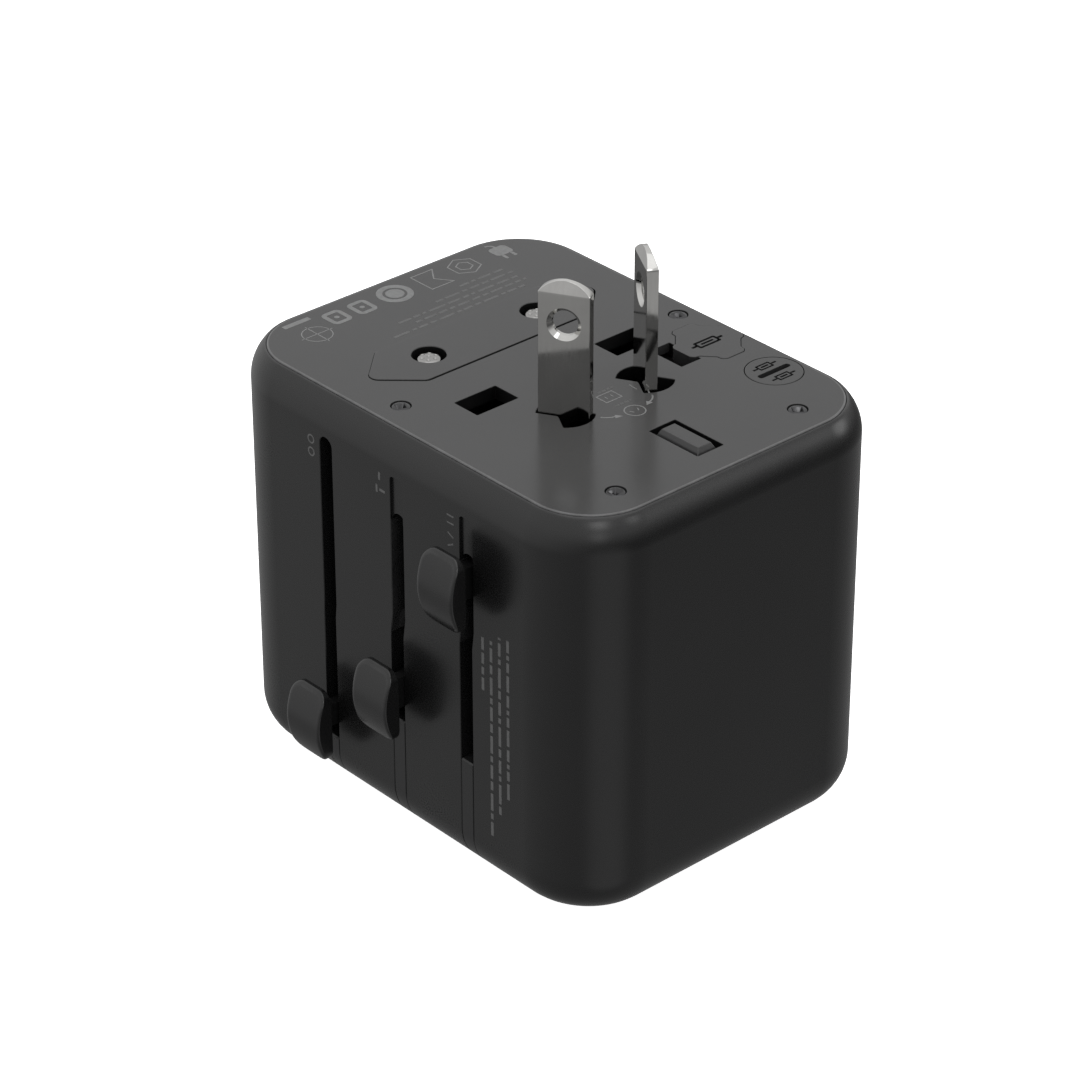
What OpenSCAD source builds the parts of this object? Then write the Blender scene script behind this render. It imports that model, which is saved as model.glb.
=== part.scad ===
// Universal travel adapter: a rounded block with sliding UK, US/AU and EU plugs
// on its top face, a universal socket in its base and two USB ports in one end.
// Origin: centre of the base face. +Z: the way the plug pins come out. -Y: slider face.

/* [Body] */
// Width of the body along X
body_w = 66; // [65.6:0.1:66.6]
// Depth of the body along Y, without the sliders
body_d = 50.1; // [49.9:0.1:50.5]
// Height of the body along Z
body_h = 54.7; // [54.5:0.1:55.2]
// Corner radius of the body seen from above
corner_r = 10.4; // [10:0.1:10.8]
// Radius of the rounded top edge
edge_r = 5.9; // [5.6:0.1:6.2]
// Height over which the top edge is rounded
edge_h = 4.3; // [4.2:0.1:4.5]
// Radius of the rounded bottom edge
bottom_r = 6.15; // [5.9:0.05:6.3]
// Thickness of the side walls
wall = 2.6; // [2.5:0.05:2.65]
// Thickness of the top plate
plate_t = 1.8; // [1.7:0.05:1.9]
// Thickness of the socket cover
cover_t = 2.6; // [2.5:0.05:2.7]

/* [Plugs] */
// Distance between the UK live and neutral pins
uk_pitch = 22.2; // [22.1:0.1:22.3]
// Distance from the UK live-neutral line to the earth pin
uk_earth = 22.2; // [22.1:0.1:22.3]
// X of the UK live and neutral pins
uk_x = 0.73; // [0.7:0.01:0.76]
// Distance between the US blades
us_pitch = 12.7; // [12.6:0.1:12.8]
// X of the US blades
us_x = 9.27; // [9.25:0.01:9.3]
// Turn of each US blade away from parallel, as stored
us_turn = 30; // [24:1:30]
// Distance between the EU pins
eu_pitch = 17.3; // [17.2:0.1:17.4]
// X of the EU pins
eu_x = -12.47; // [-12.5:0.01:-12.4]

/* [Sliders] */
// Travel of the UK slider and of the US slider
side_travel = 20.6; // [20:0.1:20.6]
// Travel of the EU platform out of the top face
eu_platform_travel = 16.7; // [16:0.1:16.7]
// Travel of the EU pins out of the platform
eu_pin_travel = 19; // [18:0.1:19]
// Width of the slider slots
slot_w = 2.3; // [2.25:0.05:2.4]
// Width of a slider stem
stem_w = 1.4; // [1.3:0.05:1.4]
// Width of a slider knob
knob_w = 6.2; // [5.8:0.1:6.4]
// Height of a slider knob
knob_h = 9.8; // [9.4:0.1:10]
// Gap between the wall and the back of a knob
knob_gap = 2.7; // [2.4:0.1:2.8]

/* [Hidden] */
$fn = 48;
H = body_h;
hw = body_w / 2;
hd = body_d / 2;
front = -hd;
cav_x = hw - wall;
cav_y = hd - wall;
cav_r = corner_r - wall;
plate_z = H - plate_t;
top_inset = edge_r - sqrt(edge_r * edge_r - edge_h * edge_h);
open_x = hw - top_inset - 0.2;
open_y = hd - top_inset - 0.2;
uk_earth_x = uk_x + uk_earth;
uk_slot_x = 0.66;
us_slot_x = 13.0;
eu_slot_x = -12.2;
uk_knob_z = 20.6;
us_knob_z = 20.6 + side_travel;
eu_knob_z = 11.5;
slot_top = 44.55;
groove_top = 49.4;
tongue_z = 16.05;
eu_tongue_z = 7.75;
eu_slot_top = 49.5;
sock_x = -1.5;
sock_earth_x = 20.7;
eps = 0.01;

// ---- plain helpers ----
module box(x0, x1, y0, y1, z0, z1) { translate([x0, y0, z0]) cube([x1 - x0, y1 - y0, z1 - z0]); }
module rrect(hx, hy, r) {
  square([2 * (hx - r), 2 * hy], center = true);
  square([2 * hx, 2 * (hy - r)], center = true);
  for (sx = [-1, 1], sy = [-1, 1]) translate([sx * (hx - r), sy * (hy - r)]) circle(r);
}
// half of the side outline, from an axis out to radius R
module outline(R) {
  translate([0, bottom_r]) square([R, H - edge_h - bottom_r]);
  square([R - bottom_r, bottom_r + eps]);
  translate([R - bottom_r, bottom_r]) intersection() {
    circle(bottom_r, $fn = 96);
    translate([-eps, -bottom_r]) square([bottom_r + eps, bottom_r + eps]);
  }
  translate([0, H - edge_h - eps]) square([R - edge_r + eps, edge_h + eps]);
  translate([R - edge_r, H - edge_h]) intersection() {
    circle(edge_r, $fn = 96);
    translate([0, -eps]) square([edge_r, edge_h + eps]);
  }
}
module outer_solid() {
  cx = hw - corner_r;
  cy = hd - corner_r;
  rotate([90, 0, 90]) translate([0, 0, -cx]) linear_extrude(2 * cx) union() {
    outline(hd);
    mirror([1, 0]) outline(hd);
  }
  for (s = [0, 1]) mirror([s, 0, 0]) translate([cx, 0, 0]) rotate([90, 0, 0])
    translate([0, 0, -cy]) linear_extrude(2 * cy) outline(corner_r);
  for (a = [0, 1], b = [0, 1]) mirror([a, 0, 0]) mirror([0, b, 0])
    translate([cx, cy, 0]) rotate_extrude(angle = 90, $fn = 96) outline(corner_r);
}
// a rounded polygon: corner points p, corner radius r
function arc_pts(p, a, b, r) = let (
    u = (a - p) / norm(a - p), v = (b - p) / norm(b - p),
    h = acos(u * v) / 2, c = p + (u + v) / norm(u + v) * (r / sin(h)),
    s = p + u * (r / tan(h)) - c, e = p + v * (r / tan(h)) - c,
    t0 = atan2(s.y, s.x), d = atan2(e.y, e.x) - t0, dd = d > 180 ? d - 360 : d < -180 ? d + 360 : d)
  [for (k = [0:6]) c + r * [cos(t0 + dd * k / 6), sin(t0 + dd * k / 6)]];
function rounded(pts, r) = [for (i = [0:len(pts) - 1])
  each arc_pts(pts[i], pts[(i + len(pts) - 1) % len(pts)], pts[(i + 1) % len(pts)], r)];
hex_pts = [[4.8, -13], [4.8, 13], [0.55, 17.6], [-0.55, 17.6], [-4.8, 13], [-4.8, -13], [-0.55, -17.6], [0.55, -17.6]];
function grow(p, g) = [for (q = p) [q.x + sign(q.x) * g, q.y + sign(q.y) * g]];
fuse_pts = [[4.85, -1.35], [4.85, 1.35], [3.85, 1.95], [1.8, 4.25], [-1.8, 4.25], [-3.85, 1.95],
  [-4.85, 1.35], [-4.85, -1.35], [-3.85, -1.95], [-1.8, -4.25], [1.8, -4.25], [3.85, -1.95]];
fuse_c = [7.37, 18.2];
spare_c = [18.06, 19.05];
screw_xy = [[-4.95, -19.38], [26.6, -14.45], [26.6, 14.45], [-0.17, 20.7]];

// ---- outer shell ----
module slider_cut(x, top, rounded_top) {
  translate([x - slot_w / 2, front - 1, -1]) cube([slot_w, wall + 1 + 3, (rounded_top ? top - slot_w / 2 : top) + 1]);
  if (rounded_top) translate([x, front - 1, top - slot_w / 2]) rotate([-90, 0, 0]) cylinder(r = slot_w / 2, h = wall + 2);
}
module main_housing() color([0.12, 0.12, 0.13]) difference() {
  outer_solid();
  translate([0, 0, cover_t]) linear_extrude(plate_z - cover_t) rrect(cav_x, cav_y, cav_r);
  translate([0, 0, plate_z - eps]) linear_extrude(plate_t + 1) rrect(open_x, open_y, corner_r - top_inset - 0.2);
  translate([0, 0, -1]) linear_extrude(cover_t + 1.01) rrect(25.75, 17.75, 6.15);
  slider_cut(eu_slot_x, eu_slot_top, false);
  slider_cut(uk_slot_x, slot_top, true);
  slider_cut(us_slot_x, slot_top, true);
  for (x = [eu_slot_x, uk_slot_x, us_slot_x]) box(x - slot_w / 2, x + slot_w / 2, front - 1, -17, -1, cover_t);
  for (x = [uk_slot_x, us_slot_x]) box(x - slot_w / 2, x + slot_w / 2, front - 1, front + 0.35, slot_top - 1.3, groove_top);
  for (s = [-1, 1]) box(-hw - 1, -cav_x + 1, s * 7.6 - 6.75, s * 7.6 + 6.75, 12.95, 19.05);
}
module tongue(x, z) intersection() {
  outer_solid();
  union() {
    box(x - slot_w / 2 + 0.1, x + slot_w / 2 - 0.1, front - 1, -17.4, -1, cover_t);
    box(x - slot_w / 2 + 0.1, x + slot_w / 2 - 0.1, front - 1, -cav_y, 0.5, z);
  }
}
module pole_cut(s, z0, z1) {
  // UK pin, EU pin, US blade and a turned AU blade share one aperture
  box(sock_x - 2.3, sock_x + 2.3, s * 11.1 - 3.4, s * 11.1 + 3.4, z0, z1);
  translate([sock_x, s * 9.5, z0]) cylinder(r = 2.6, h = z1 - z0);
  box(sock_x - 3.5, sock_x + 3.5, s * 6.35 - 0.95, s * 6.35 + 0.95, z0, z1);
  translate([sock_x, s * 6.87, z0]) rotate([0, 0, s * 30]) translate([-3.4, -0.95, 0]) cube([6.8, 1.9, z1 - z0]);
}
module socket_cover() color([0.14, 0.14, 0.15]) difference() {
  union() {
    linear_extrude(cover_t) rrect(25.6, 17.6, 6);
    tongue(eu_slot_x, eu_tongue_z);
    tongue(uk_slot_x, tongue_z);
    tongue(us_slot_x, tongue_z);
    for (s = [-1, 1]) box(-13.5, 10, s * 16.7 - 0.4, s * 16.7 + 0.4, cover_t - eps, 4.2);
    box(13.1, 14.3, -1.3, 1.3, cover_t - eps, 4.3);
    for (s = [-1, 1], y = [-8, 8]) {
      box(s > 0 ? 24.6 : -25.5, s > 0 ? 25.5 : -24.6, y - 2, y + 2, cover_t - eps, 4.4);
      box(s > 0 ? 24.6 : -26.5, s > 0 ? 26.5 : -24.6, y - 2, y + 2, cover_t + 0.1, 4.4);
    }
  }
  for (s = [-1, 1]) pole_cut(s, -1, cover_t + 1);
  box(sock_earth_x - 4.3, sock_earth_x + 4.3, -2.3, 2.3, -1, cover_t + 1);
}

// ---- top face ----
module blade_window(s) translate([us_x, s * us_pitch / 2]) intersection() {
  circle(3.5, $fn = 64);
  union() {
    for (a = [-us_turn, us_turn]) rotate(a) square([8, 1.9], center = true);
    polygon([[0, 0], [4, 4 * tan(us_turn)], [4, -4 * tan(us_turn)]]);
    polygon([[0, 0], [-4, -4 * tan(us_turn)], [-4, 4 * tan(us_turn)]]);
  }
}
module top_plate() color([0.2, 0.2, 0.21]) difference() {
  translate([0, 0, plate_z]) linear_extrude(plate_t) rrect(open_x - 0.1, open_y - 0.1, corner_r - top_inset - 0.3);
  for (s = [-1, 1]) box(uk_x - 2.06, uk_x + 2.06, s * uk_pitch / 2 - 3.2, s * uk_pitch / 2 + 3.2, plate_z - 1, H + 1);
  box(uk_earth_x - 4.06, uk_earth_x + 4.06, -2.08, 2.08, plate_z - 1, H + 1);
  translate([0, 0, plate_z - 1]) linear_extrude(4) { blade_window(-1); blade_window(1); }
  translate([eu_x, 0, plate_z - 1]) linear_extrude(4) polygon(rounded(grow(hex_pts, 0.15), 1.3));
  translate([fuse_c.x, fuse_c.y, plate_z - 1]) linear_extrude(4) polygon(rounded(grow(fuse_pts, 0.1), 0.25));
  translate([spare_c.x, spare_c.y, plate_z - 1]) cylinder(r = 3.57, h = 4);
  box(4.45, 9.95, 11.65, 14.6, plate_z - 1, H + 1);
  box(3.9, 10.5, 11.1, 14.6, plate_z - 1, H - 1.27);
  for (p = screw_xy) translate([p.x, p.y, 0]) {
    translate([0, 0, plate_z - 1]) cylinder(r = 1.0, h = 4);
    translate([0, 0, H - 0.75]) cylinder(r = 1.3, h = 2);
  }
}
module plate_screws() color([0.35, 0.35, 0.36]) for (p = screw_xy) translate([p.x, p.y, 0]) difference() {
  union() {
    translate([0, 0, H - 0.75]) cylinder(r = 1.22, h = 0.65);
    translate([0, 0, 44]) cylinder(r = 0.9, h = H - 0.75 - 44 + eps);
  }
  for (a = [0, 90]) rotate([0, 0, a + 20]) translate([-0.8, -0.16, H - 0.45]) cube([1.6, 0.32, 1]);
}

// ---- frame inside ----
module boss(p, z0, r) translate([p.x, p.y, z0]) cylinder(r = r, h = plate_z - 0.1 - z0);
module inner_chassis() color([0.3, 0.3, 0.32]) difference() {
  union() {
    box(-6.1, -4.6, -22.3, 22.3, 19.6, plate_z - 0.1);
    for (s = [-1, 1]) box(-6.1, -4.6, s > 0 ? 17.5 : -22.3, s > 0 ? 22.3 : -17.5, cover_t + 0.1, 20);
    box(-6.1, 23.6, -22.3, -21, cover_t + 0.1, plate_z - 0.1);
    box(-6.1, 23.6, 21, 22.3, cover_t + 0.1, 26);
    box(-6.1, 1.4, 21, 22.3, cover_t + 0.1, plate_z - 0.1);
    boss(screw_xy[0], 20, 2.0);
    boss(screw_xy[3], 26, 1.6);
    for (s = [-1, 1]) {
      boss([26.6, s * 14.45], cover_t + 0.1, 2.2);
      box(22.3, 23.6, s > 0 ? 13.8 : -22.3, s > 0 ? 21.5 : -13.8, cover_t + 0.1, s > 0 ? 26 : plate_z - 0.1);
      box(22.3, 26.6, s * 14.45 - 0.7, s * 14.45 + 0.7, cover_t + 0.1, s > 0 ? 26 : plate_z - 0.1);
    }
  }
  box(uk_slot_x - 1.35, uk_slot_x + 1.35, -23, -20.5, 17.5, plate_z + 1);
  box(us_slot_x - 1.35, us_slot_x + 1.35, -23, -20.5, 17.5, plate_z + 1);
  box(-2, 20, 20, 23, cover_t, 8);
  for (p = screw_xy) translate([p.x, p.y, 43]) cylinder(r = 0.95, h = 12);
}
module contact_carrier() color([0.86, 0.85, 0.8]) difference() {
  for (s = [0, 1]) mirror([0, s, 0]) difference() {
    box(-6, 3, 3.7, 15.7, 4.4, 19.2);
    box(sock_x - 3.7, sock_x + 3.7, 4.5, 15.15, 4.3, 19.3);
    box(-7, sock_x - 3, 7.9, 9.6, 15.9, 18.1);
  }
}
module socket_contact() {
  for (s = [-1, 1]) translate([sock_x + s * 2.55, 0, 0]) box(-0.2, 0.2, 7.55, 14.95, 4.8, 18.9);
  box(sock_x - 1.1, sock_x + 1.1, 4.85, 5.2, 4.8, 18.9);
  box(sock_x - 2.75, sock_x + 2.75, 4.85, 15.1, 18.7, 19.1);
  box(sock_x - 2.75, sock_x + 2.75, 14.7, 15.1, 4.8, 18.9);
  box(-6.15, sock_x - 2.5, 8.1, 9.4, 16.2, 17.8);
}
module socket_contact_live() color([0.83, 0.64, 0.3]) socket_contact();
module socket_contact_neutral() color([0.83, 0.64, 0.3]) mirror([0, 1, 0]) socket_contact();
module busbar() {
  box(-2.2, -0.8, 15.25, 15.75, 19.3, 50);
  box(-2.2, -0.8, 14.7, 15.75, 19.3, 19.45);
  box(-6.65, -6.2, 7, 10, 5, 50);
}
module live_busbar() color([0.83, 0.64, 0.3]) busbar();
module neutral_busbar() color([0.83, 0.64, 0.3]) mirror([0, 1, 0]) busbar();

// ---- socket shutter ----
module shutter_plate() color([0.8, 0.8, 0.78]) difference() {
  box(-13.2, 2.4, -16.1, 16.1, 2.75, 4.15);
  for (s = [-1, 1]) box(-12.4, -5.2, s * 9.5 - 5.3, s * 9.5 + 5.3, 2, 5);
  translate([-8.8, 0, 2]) cylinder(r = 2.2, h = 3);
}
module shutter_spring() color([0.75, 0.76, 0.78]) translate([2.45, 0, 3.45]) rotate([0, 90, 0]) {
  for (k = [0:7]) translate([0, 0, 0.2 + k * 0.4]) rotate_extrude() translate([0.52, 0]) circle(0.15, $fn = 16);
  for (s = [-1, 1]) translate([s * 0.52, 0, 0]) cylinder(r = 0.1, h = 3.2, $fn = 16);
}

// ---- a slider knob, its centre on the slot at height z ----
module knob(x, z) {
  y_back = front - knob_gap;
  translate([x, y_back, z]) rotate([90, 0, 0]) intersection() {
    difference() {
      linear_extrude(2.4) rrect(knob_w / 2, knob_h / 2, 1.7);
      translate([-stem_w / 2 - 0.02, -1.62, -1]) cube([stem_w + 0.04, 3.24, 2.0]);
    }
    translate([-10, 0, 2.3 - 8.5]) rotate([0, 90, 0]) cylinder(r = 8.5, h = 20, $fn = 128);
  }
}

// ---- UK plug ----
module uk_carriage() color([0.2, 0.2, 0.21]) difference() {
  union() {
    box(-2.2, 2.75, -14.5, 14.5, 19.5, 27.5);
    box(-2.2, 3.9, -7, 7, 19.5, 27.5);
    box(3.8, 27.0, -2.5, 2.5, 23.4, 27.5);
    box(uk_slot_x - stem_w / 2, uk_slot_x + stem_w / 2, -20.5, -14.4, 19.6, 22.7);
    box(uk_slot_x - stem_w / 2, uk_slot_x + stem_w / 2, front - knob_gap, -20, uk_knob_z - 2.1, uk_knob_z + 2.1);
    box(uk_slot_x - stem_w / 2, uk_slot_x + stem_w / 2, front - knob_gap - 0.95, front - knob_gap + eps, uk_knob_z - 1.6, uk_knob_z + 1.6);
  }
  for (s = [-1, 1]) box(uk_x - 1.5, uk_x + 1.5, s * uk_pitch / 2 - 2.7, s * uk_pitch / 2 + 2.7, 21.0, 28);
}
module uk_blade_shape(z0, z1) intersection() {
  // tapered tip on all four sides
  rotate([90, 0, 0]) translate([0, 0, -4]) linear_extrude(8)
    polygon([[-2, z0], [2, z0], [2, z1 - 1], [1.5, z1], [-1.5, z1], [-2, z1 - 1]]);
  rotate([90, 0, 90]) translate([0, 0, -3]) linear_extrude(6)
    polygon([[-3.175, z0], [3.175, z0], [3.175, z1 - 1], [2.675, z1], [-2.675, z1], [-3.175, z1 - 1]]);
}
module uk_line_pins() color([0.8, 0.8, 0.78]) for (s = [-1, 1]) translate([uk_x, s * uk_pitch / 2, 0]) {
  uk_blade_shape(43.6, 52.3);
  box(-1.5, 1.5, -2.7, 2.7, 21.0, 43.7);
}
module uk_pin_sleeves() color([0.1, 0.1, 0.1]) for (s = [-1, 1]) translate([uk_x, s * uk_pitch / 2, 0]) difference() {
  box(-2, 2, -3.175, 3.175, 27.5, 43.6);
  box(-1.5, 1.5, -2.7, 2.7, 27, 44);
}
module uk_earth_pin() color([0.35, 0.35, 0.36]) translate([uk_earth_x, 0, 0]) intersection() {
  rotate([90, 0, 0]) translate([0, 0, -4]) linear_extrude(8)
    polygon([[-3.98, 27.5], [3.98, 27.5], [3.98, H - 1.4], [3.0, H + 0.3], [-3.0, H + 0.3], [-3.98, H - 1.4]]);
  rotate([90, 0, 90]) translate([0, 0, -5]) linear_extrude(10)
    polygon([[-1.98, 27.5], [1.98, 27.5], [1.98, H - 1.4], [1.0, H + 0.3], [-1.0, H + 0.3], [-1.98, H - 1.4]]);
}
module uk_wipers() color([0.83, 0.64, 0.3]) for (s = [0, 1]) mirror([0, s, 0]) {
  box(-2.2, -0.8, 14.5, 14.75, 20.5, 27);
  box(-2.2, -0.8, 14.5, 15.15, 23, 25);
}
module uk_knob() color([0.16, 0.16, 0.17]) knob(uk_slot_x, uk_knob_z);

// ---- US / AU plug, stored slid out ----
us_z = us_knob_z - 2.1;
module us_carriage() color([0.2, 0.2, 0.21]) difference() {
  union() {
    for (s = [0, 1]) mirror([0, s, 0]) box(5.6, 30.1, 2.9, 9.9, us_z, us_z + 4.2);
    box(27.3, 30.1, -9.9, 9.9, us_z, us_z + 4.2);
    box(us_slot_x - stem_w / 2, us_slot_x + stem_w / 2, front - knob_gap, -9.8, us_z, us_z + 4.2);
    box(us_slot_x - stem_w / 2, us_slot_x + stem_w / 2, front - knob_gap - 0.95, front - knob_gap + eps, us_knob_z - 1.6, us_knob_z + 1.6);
  }
  for (s = [-1, 1]) translate([us_x, s * us_pitch / 2, us_z - 1]) cylinder(r = 2.65, h = 7);
}
module us_knob() color([0.16, 0.16, 0.17]) knob(us_slot_x, us_knob_z);
module us_blade() {
  z0 = us_z + 4.3;
  z1 = H + 17.3;
  difference() {
    intersection() {
      rotate([90, 0, 0]) translate([0, 0, -2]) linear_extrude(4) union() {
        translate([-3.15, z0]) square([6.3, z1 - 1.65 - z0]);
        intersection() {
          translate([0, z1 - 4.0]) circle(4.0, $fn = 64);
          translate([-3.15, z1 - 3]) square([6.3, 4]);
        }
      }
      rotate([90, 0, 90]) translate([0, 0, -4]) linear_extrude(8)
        polygon([[-0.75, z0], [0.75, z0], [0.75, z1 - 1.55], [0.3, z1], [-0.3, z1], [-0.75, z1 - 1.55]]);
    }
    translate([0, 0, H + 11.9]) rotate([90, 0, 0]) {
      translate([0, 0, -2]) cylinder(r = 1.6, h = 4);
      translate([0, 0, 0.25]) cylinder(r1 = 1.6, r2 = 2.1, h = 0.5 + eps);
      translate([0, 0, -0.75 - eps]) cylinder(r1 = 2.1, r2 = 1.6, h = 0.5 + eps);
    }
  }
  translate([0, 0, z0 - 4.4]) cylinder(r = 2.58, h = 4.5);
  translate([0, 0, z0]) cylinder(r = 3.1, h = 0.8);
  translate([0, 0, z0 - 5.5]) cylinder(r = 3.1, h = 1.1);
  translate([0, 0, z0 - 7.2]) cylinder(r = 1.4, h = 2);
}
module us_blade_front() color([0.78, 0.77, 0.74]) translate([us_x, -us_pitch / 2, 0]) rotate([0, 0, us_turn]) us_blade();
module us_blade_back() color([0.78, 0.77, 0.74]) translate([us_x, us_pitch / 2, 0]) rotate([0, 0, -us_turn]) us_blade();
module us_contacts() color([0.83, 0.64, 0.3]) for (s = [0, 1]) mirror([0, s, 0]) {
  box(7, 10, 10.15, 10.45, 30, 50);
  box(7, 10, 10.05, 10.2, 34, 40);
  box(7, 10, 10.4, s > 0 ? 20.95 : 14.05, 46, 46.4);
}

// ---- EU plug ----
module eu_platform() color([0.2, 0.2, 0.21]) difference() {
  union() {
    translate([eu_x, 0, 33.7]) linear_extrude(H + 0.05 - 33.7) polygon(rounded(hex_pts, 1.2));
    translate([eu_x, 0, 33.7]) linear_extrude(1.7) polygon(rounded(grow(hex_pts, 0.75), 1.2));
  }
  for (s = [-1, 1]) translate([eu_x, s * eu_pitch / 2, 30]) {
    cylinder(r = 2.08, h = 30);
    translate([0, 0, H + 0.05 - 30 - 0.3]) cylinder(r1 = 2.08, r2 = 2.4, h = 0.32);
  }
}
module eu_carriage() color([0.2, 0.2, 0.21]) difference() {
  union() {
    box(-15.4, -9.6, -12, 12, 9.4, 14.2);
    box(eu_slot_x - stem_w / 2, eu_slot_x + stem_w / 2, front - knob_gap, -11.9, 9.9, 12.9);
    box(eu_slot_x - stem_w / 2, eu_slot_x + stem_w / 2, front - knob_gap - 0.95, front - knob_gap + eps, eu_knob_z - 1.5, eu_knob_z + 1.3);
  }
  for (s = [-1, 1]) translate([eu_x, s * eu_pitch / 2, 10.4]) cylinder(r = 2.0, h = 6);
}
module eu_pins() color([0.8, 0.8, 0.78]) for (s = [-1, 1]) translate([eu_x, s * eu_pitch / 2, 0]) {
  translate([0, 0, 10.4]) cylinder(r = 2.0, h = 4.4);
  translate([0, 0, 14.7]) cylinder(r = 1.5, h = 30.4);
  translate([0, 0, 45]) cylinder(r = 2.0, h = H - 1.5 - 45);
  translate([0, 0, H - 1.5 - eps]) cylinder(r1 = 2.0, r2 = 1.46, h = 1.14);
  translate([0, 0, H - 0.5]) cylinder(r = 1.38, h = 0.25);
}
module eu_pin_sleeves() color([0.1, 0.1, 0.1]) for (s = [-1, 1]) translate([eu_x, s * eu_pitch / 2, 14.8]) difference() {
  cylinder(r = 1.95, h = 30.2);
  translate([0, 0, -1]) cylinder(r = 1.5, h = 33);
}
module eu_wipers() color([0.83, 0.64, 0.3]) for (s = [-1, 1]) {
  box(-9.6, -7.4, s * 8.5 - 1.2, s * 8.5 + 1.2, 10.4, 10.8);
  box(-7.5, -6.85, s * 8.5 - 1.2, s * 8.5 + 1.2, 10.4, 13.4);
}
module eu_knob() color([0.16, 0.16, 0.17]) knob(eu_slot_x, eu_knob_z);

// ---- fuses ----
module fuse_chambers() color([0.3, 0.3, 0.32]) difference() {
  union() {
    box(2.95, 11.8, 14.1, 22.4, 27, plate_z - 0.1);
    box(4.2, 10.3, 10.9, 14.2, H - 3.4, H - 2.5);
    translate([spare_c.x, spare_c.y, 30]) cylinder(r = 3.35, h = plate_z - 0.1 - 30);
    box(11.7, 16, 17.5, 20.5, 34, 40);
  }
  box(3.6, 11.15, 14.8, 21.75, 28, plate_z + 1);
  translate([spare_c.x, spare_c.y, 31]) cylinder(r = 2.75, h = 30);
}
module fuse_clips() color([0.83, 0.64, 0.3]) {
  box(3.63, 3.9, 16.8, 19.6, 28.2, 35);
  box(10.8, 11.12, 16.8, 19.6, 28.2, 51);
}
module fuse_holder() color([0.18, 0.18, 0.19]) difference() {
  union() {
    translate([fuse_c.x, fuse_c.y, plate_z]) linear_extrude(plate_t + 0.05) polygon(rounded(fuse_pts, 0.25));
    intersection() {
      box(4.0, 10.74, 15.0, 21.5, 29, plate_z + eps);
      translate([fuse_c.x, fuse_c.y, 28]) linear_extrude(30) polygon(rounded(fuse_pts, 0.25));
    }
  }
  translate([fuse_c.x, fuse_c.y, 30.4]) cylinder(r = 2.7, h = 20.2);
  box(4.0 + 0.9, 10.74 - 0.9, 14, fuse_c.y, 30.4, 50.6);
  // engraved fuse symbol and a grip groove
  translate([fuse_c.x, fuse_c.y, H - 0.15]) {
    difference() { translate([-1.7, -0.75, 0]) cube([3.4, 1.5, 1]); translate([-1.45, -0.5, -1]) cube([2.9, 1.0, 3]); }
    translate([-2.5, -0.12, 0]) cube([5, 0.24, 1]);
  }
}
module fuse_core(c, z) translate([c.x, c.y, z]) { translate([0, 0, 5]) cylinder(r = 2.4, h = 10); }
module fuse_ends(c, z) translate([c.x, c.y, z]) { cylinder(r = 2.6, h = 5); translate([0, 0, 15]) cylinder(r = 2.6, h = 5); }
module fuse_body() color([0.92, 0.9, 0.85]) fuse_core(fuse_c, 30.5);
module fuse_end_caps() color([0.8, 0.8, 0.82]) fuse_ends(fuse_c, 30.5);
module spare_fuse_cap() color([0.18, 0.18, 0.19]) difference() {
  union() {
    translate([spare_c.x, spare_c.y, plate_z]) cylinder(r = 3.5, h = plate_t);
    translate([spare_c.x, spare_c.y, plate_z - 1.1]) cylinder(r = 2.68, h = 1.2);
  }
  translate([spare_c.x - 0.4, spare_c.y - 2.48, H - 0.8]) cube([0.8, 4.96, 2]);
  for (s = [-1, 1]) translate([spare_c.x + s * 2.2, spare_c.y, H - 0.15]) cylinder(r = 0.35, h = 1, $fn = 24);
}
module spare_fuse_body() color([0.92, 0.9, 0.85]) fuse_core(spare_c, 31.1);
module spare_fuse_end_caps() color([0.8, 0.8, 0.82]) fuse_ends(spare_c, 31.1);

// ---- USB supply ----
module usb_board() color([0.1, 0.35, 0.2]) difference() {
  box(-20.0, -18.8, -20.5, 20.5, 5, 50);
  for (s = [-1, 1], z = [8, 47]) translate([-21, s * 18, z]) rotate([0, 90, 0]) cylinder(r = 1.1, h = 4);
}
module usb_ports() color([0.75, 0.76, 0.78]) for (s = [-1, 1]) translate([0, s * 7.6, 16]) difference() {
  box(-32.9, -20.05, -6.6, 6.6, -2.9, 2.9);
  box(-33.5, -20.5, -6.25, 6.25, -2.55, 2.55);
}
module usb_tongues() color([0.93, 0.93, 0.92]) for (s = [-1, 1]) translate([0, s * 7.6, 16]) {
  box(-30.6, -20.5, -5.6, 5.6, 0.35, 2.2);
  box(-22.5, -20.5, -6.2, 6.2, -2.5, 2.5);
}
module usb_transformer_core() color([0.25, 0.25, 0.27]) difference() {
  box(-29.5, -20.05, -7, 7, 27, 41);
  box(-30, -22, -5, 5, 29.5, 38.5);
}
module usb_transformer_winding() color([0.85, 0.75, 0.2]) box(-28.6, -22.1, -4.9, 4.9, 29.6, 38.4);
module usb_capacitors() color([0.2, 0.25, 0.45]) for (s = [-1, 1]) translate([-28, s * 14.5, 34]) rotate([0, 90, 0]) cylinder(r = 3.9, h = 7.95);

module usb_wires() color([0.6, 0.1, 0.1]) for (z = [11, 13.5]) translate([-18.75, 19.4, z]) rotate([0, 90, 0]) cylinder(r = 0.7, h = 12.6);

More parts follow.
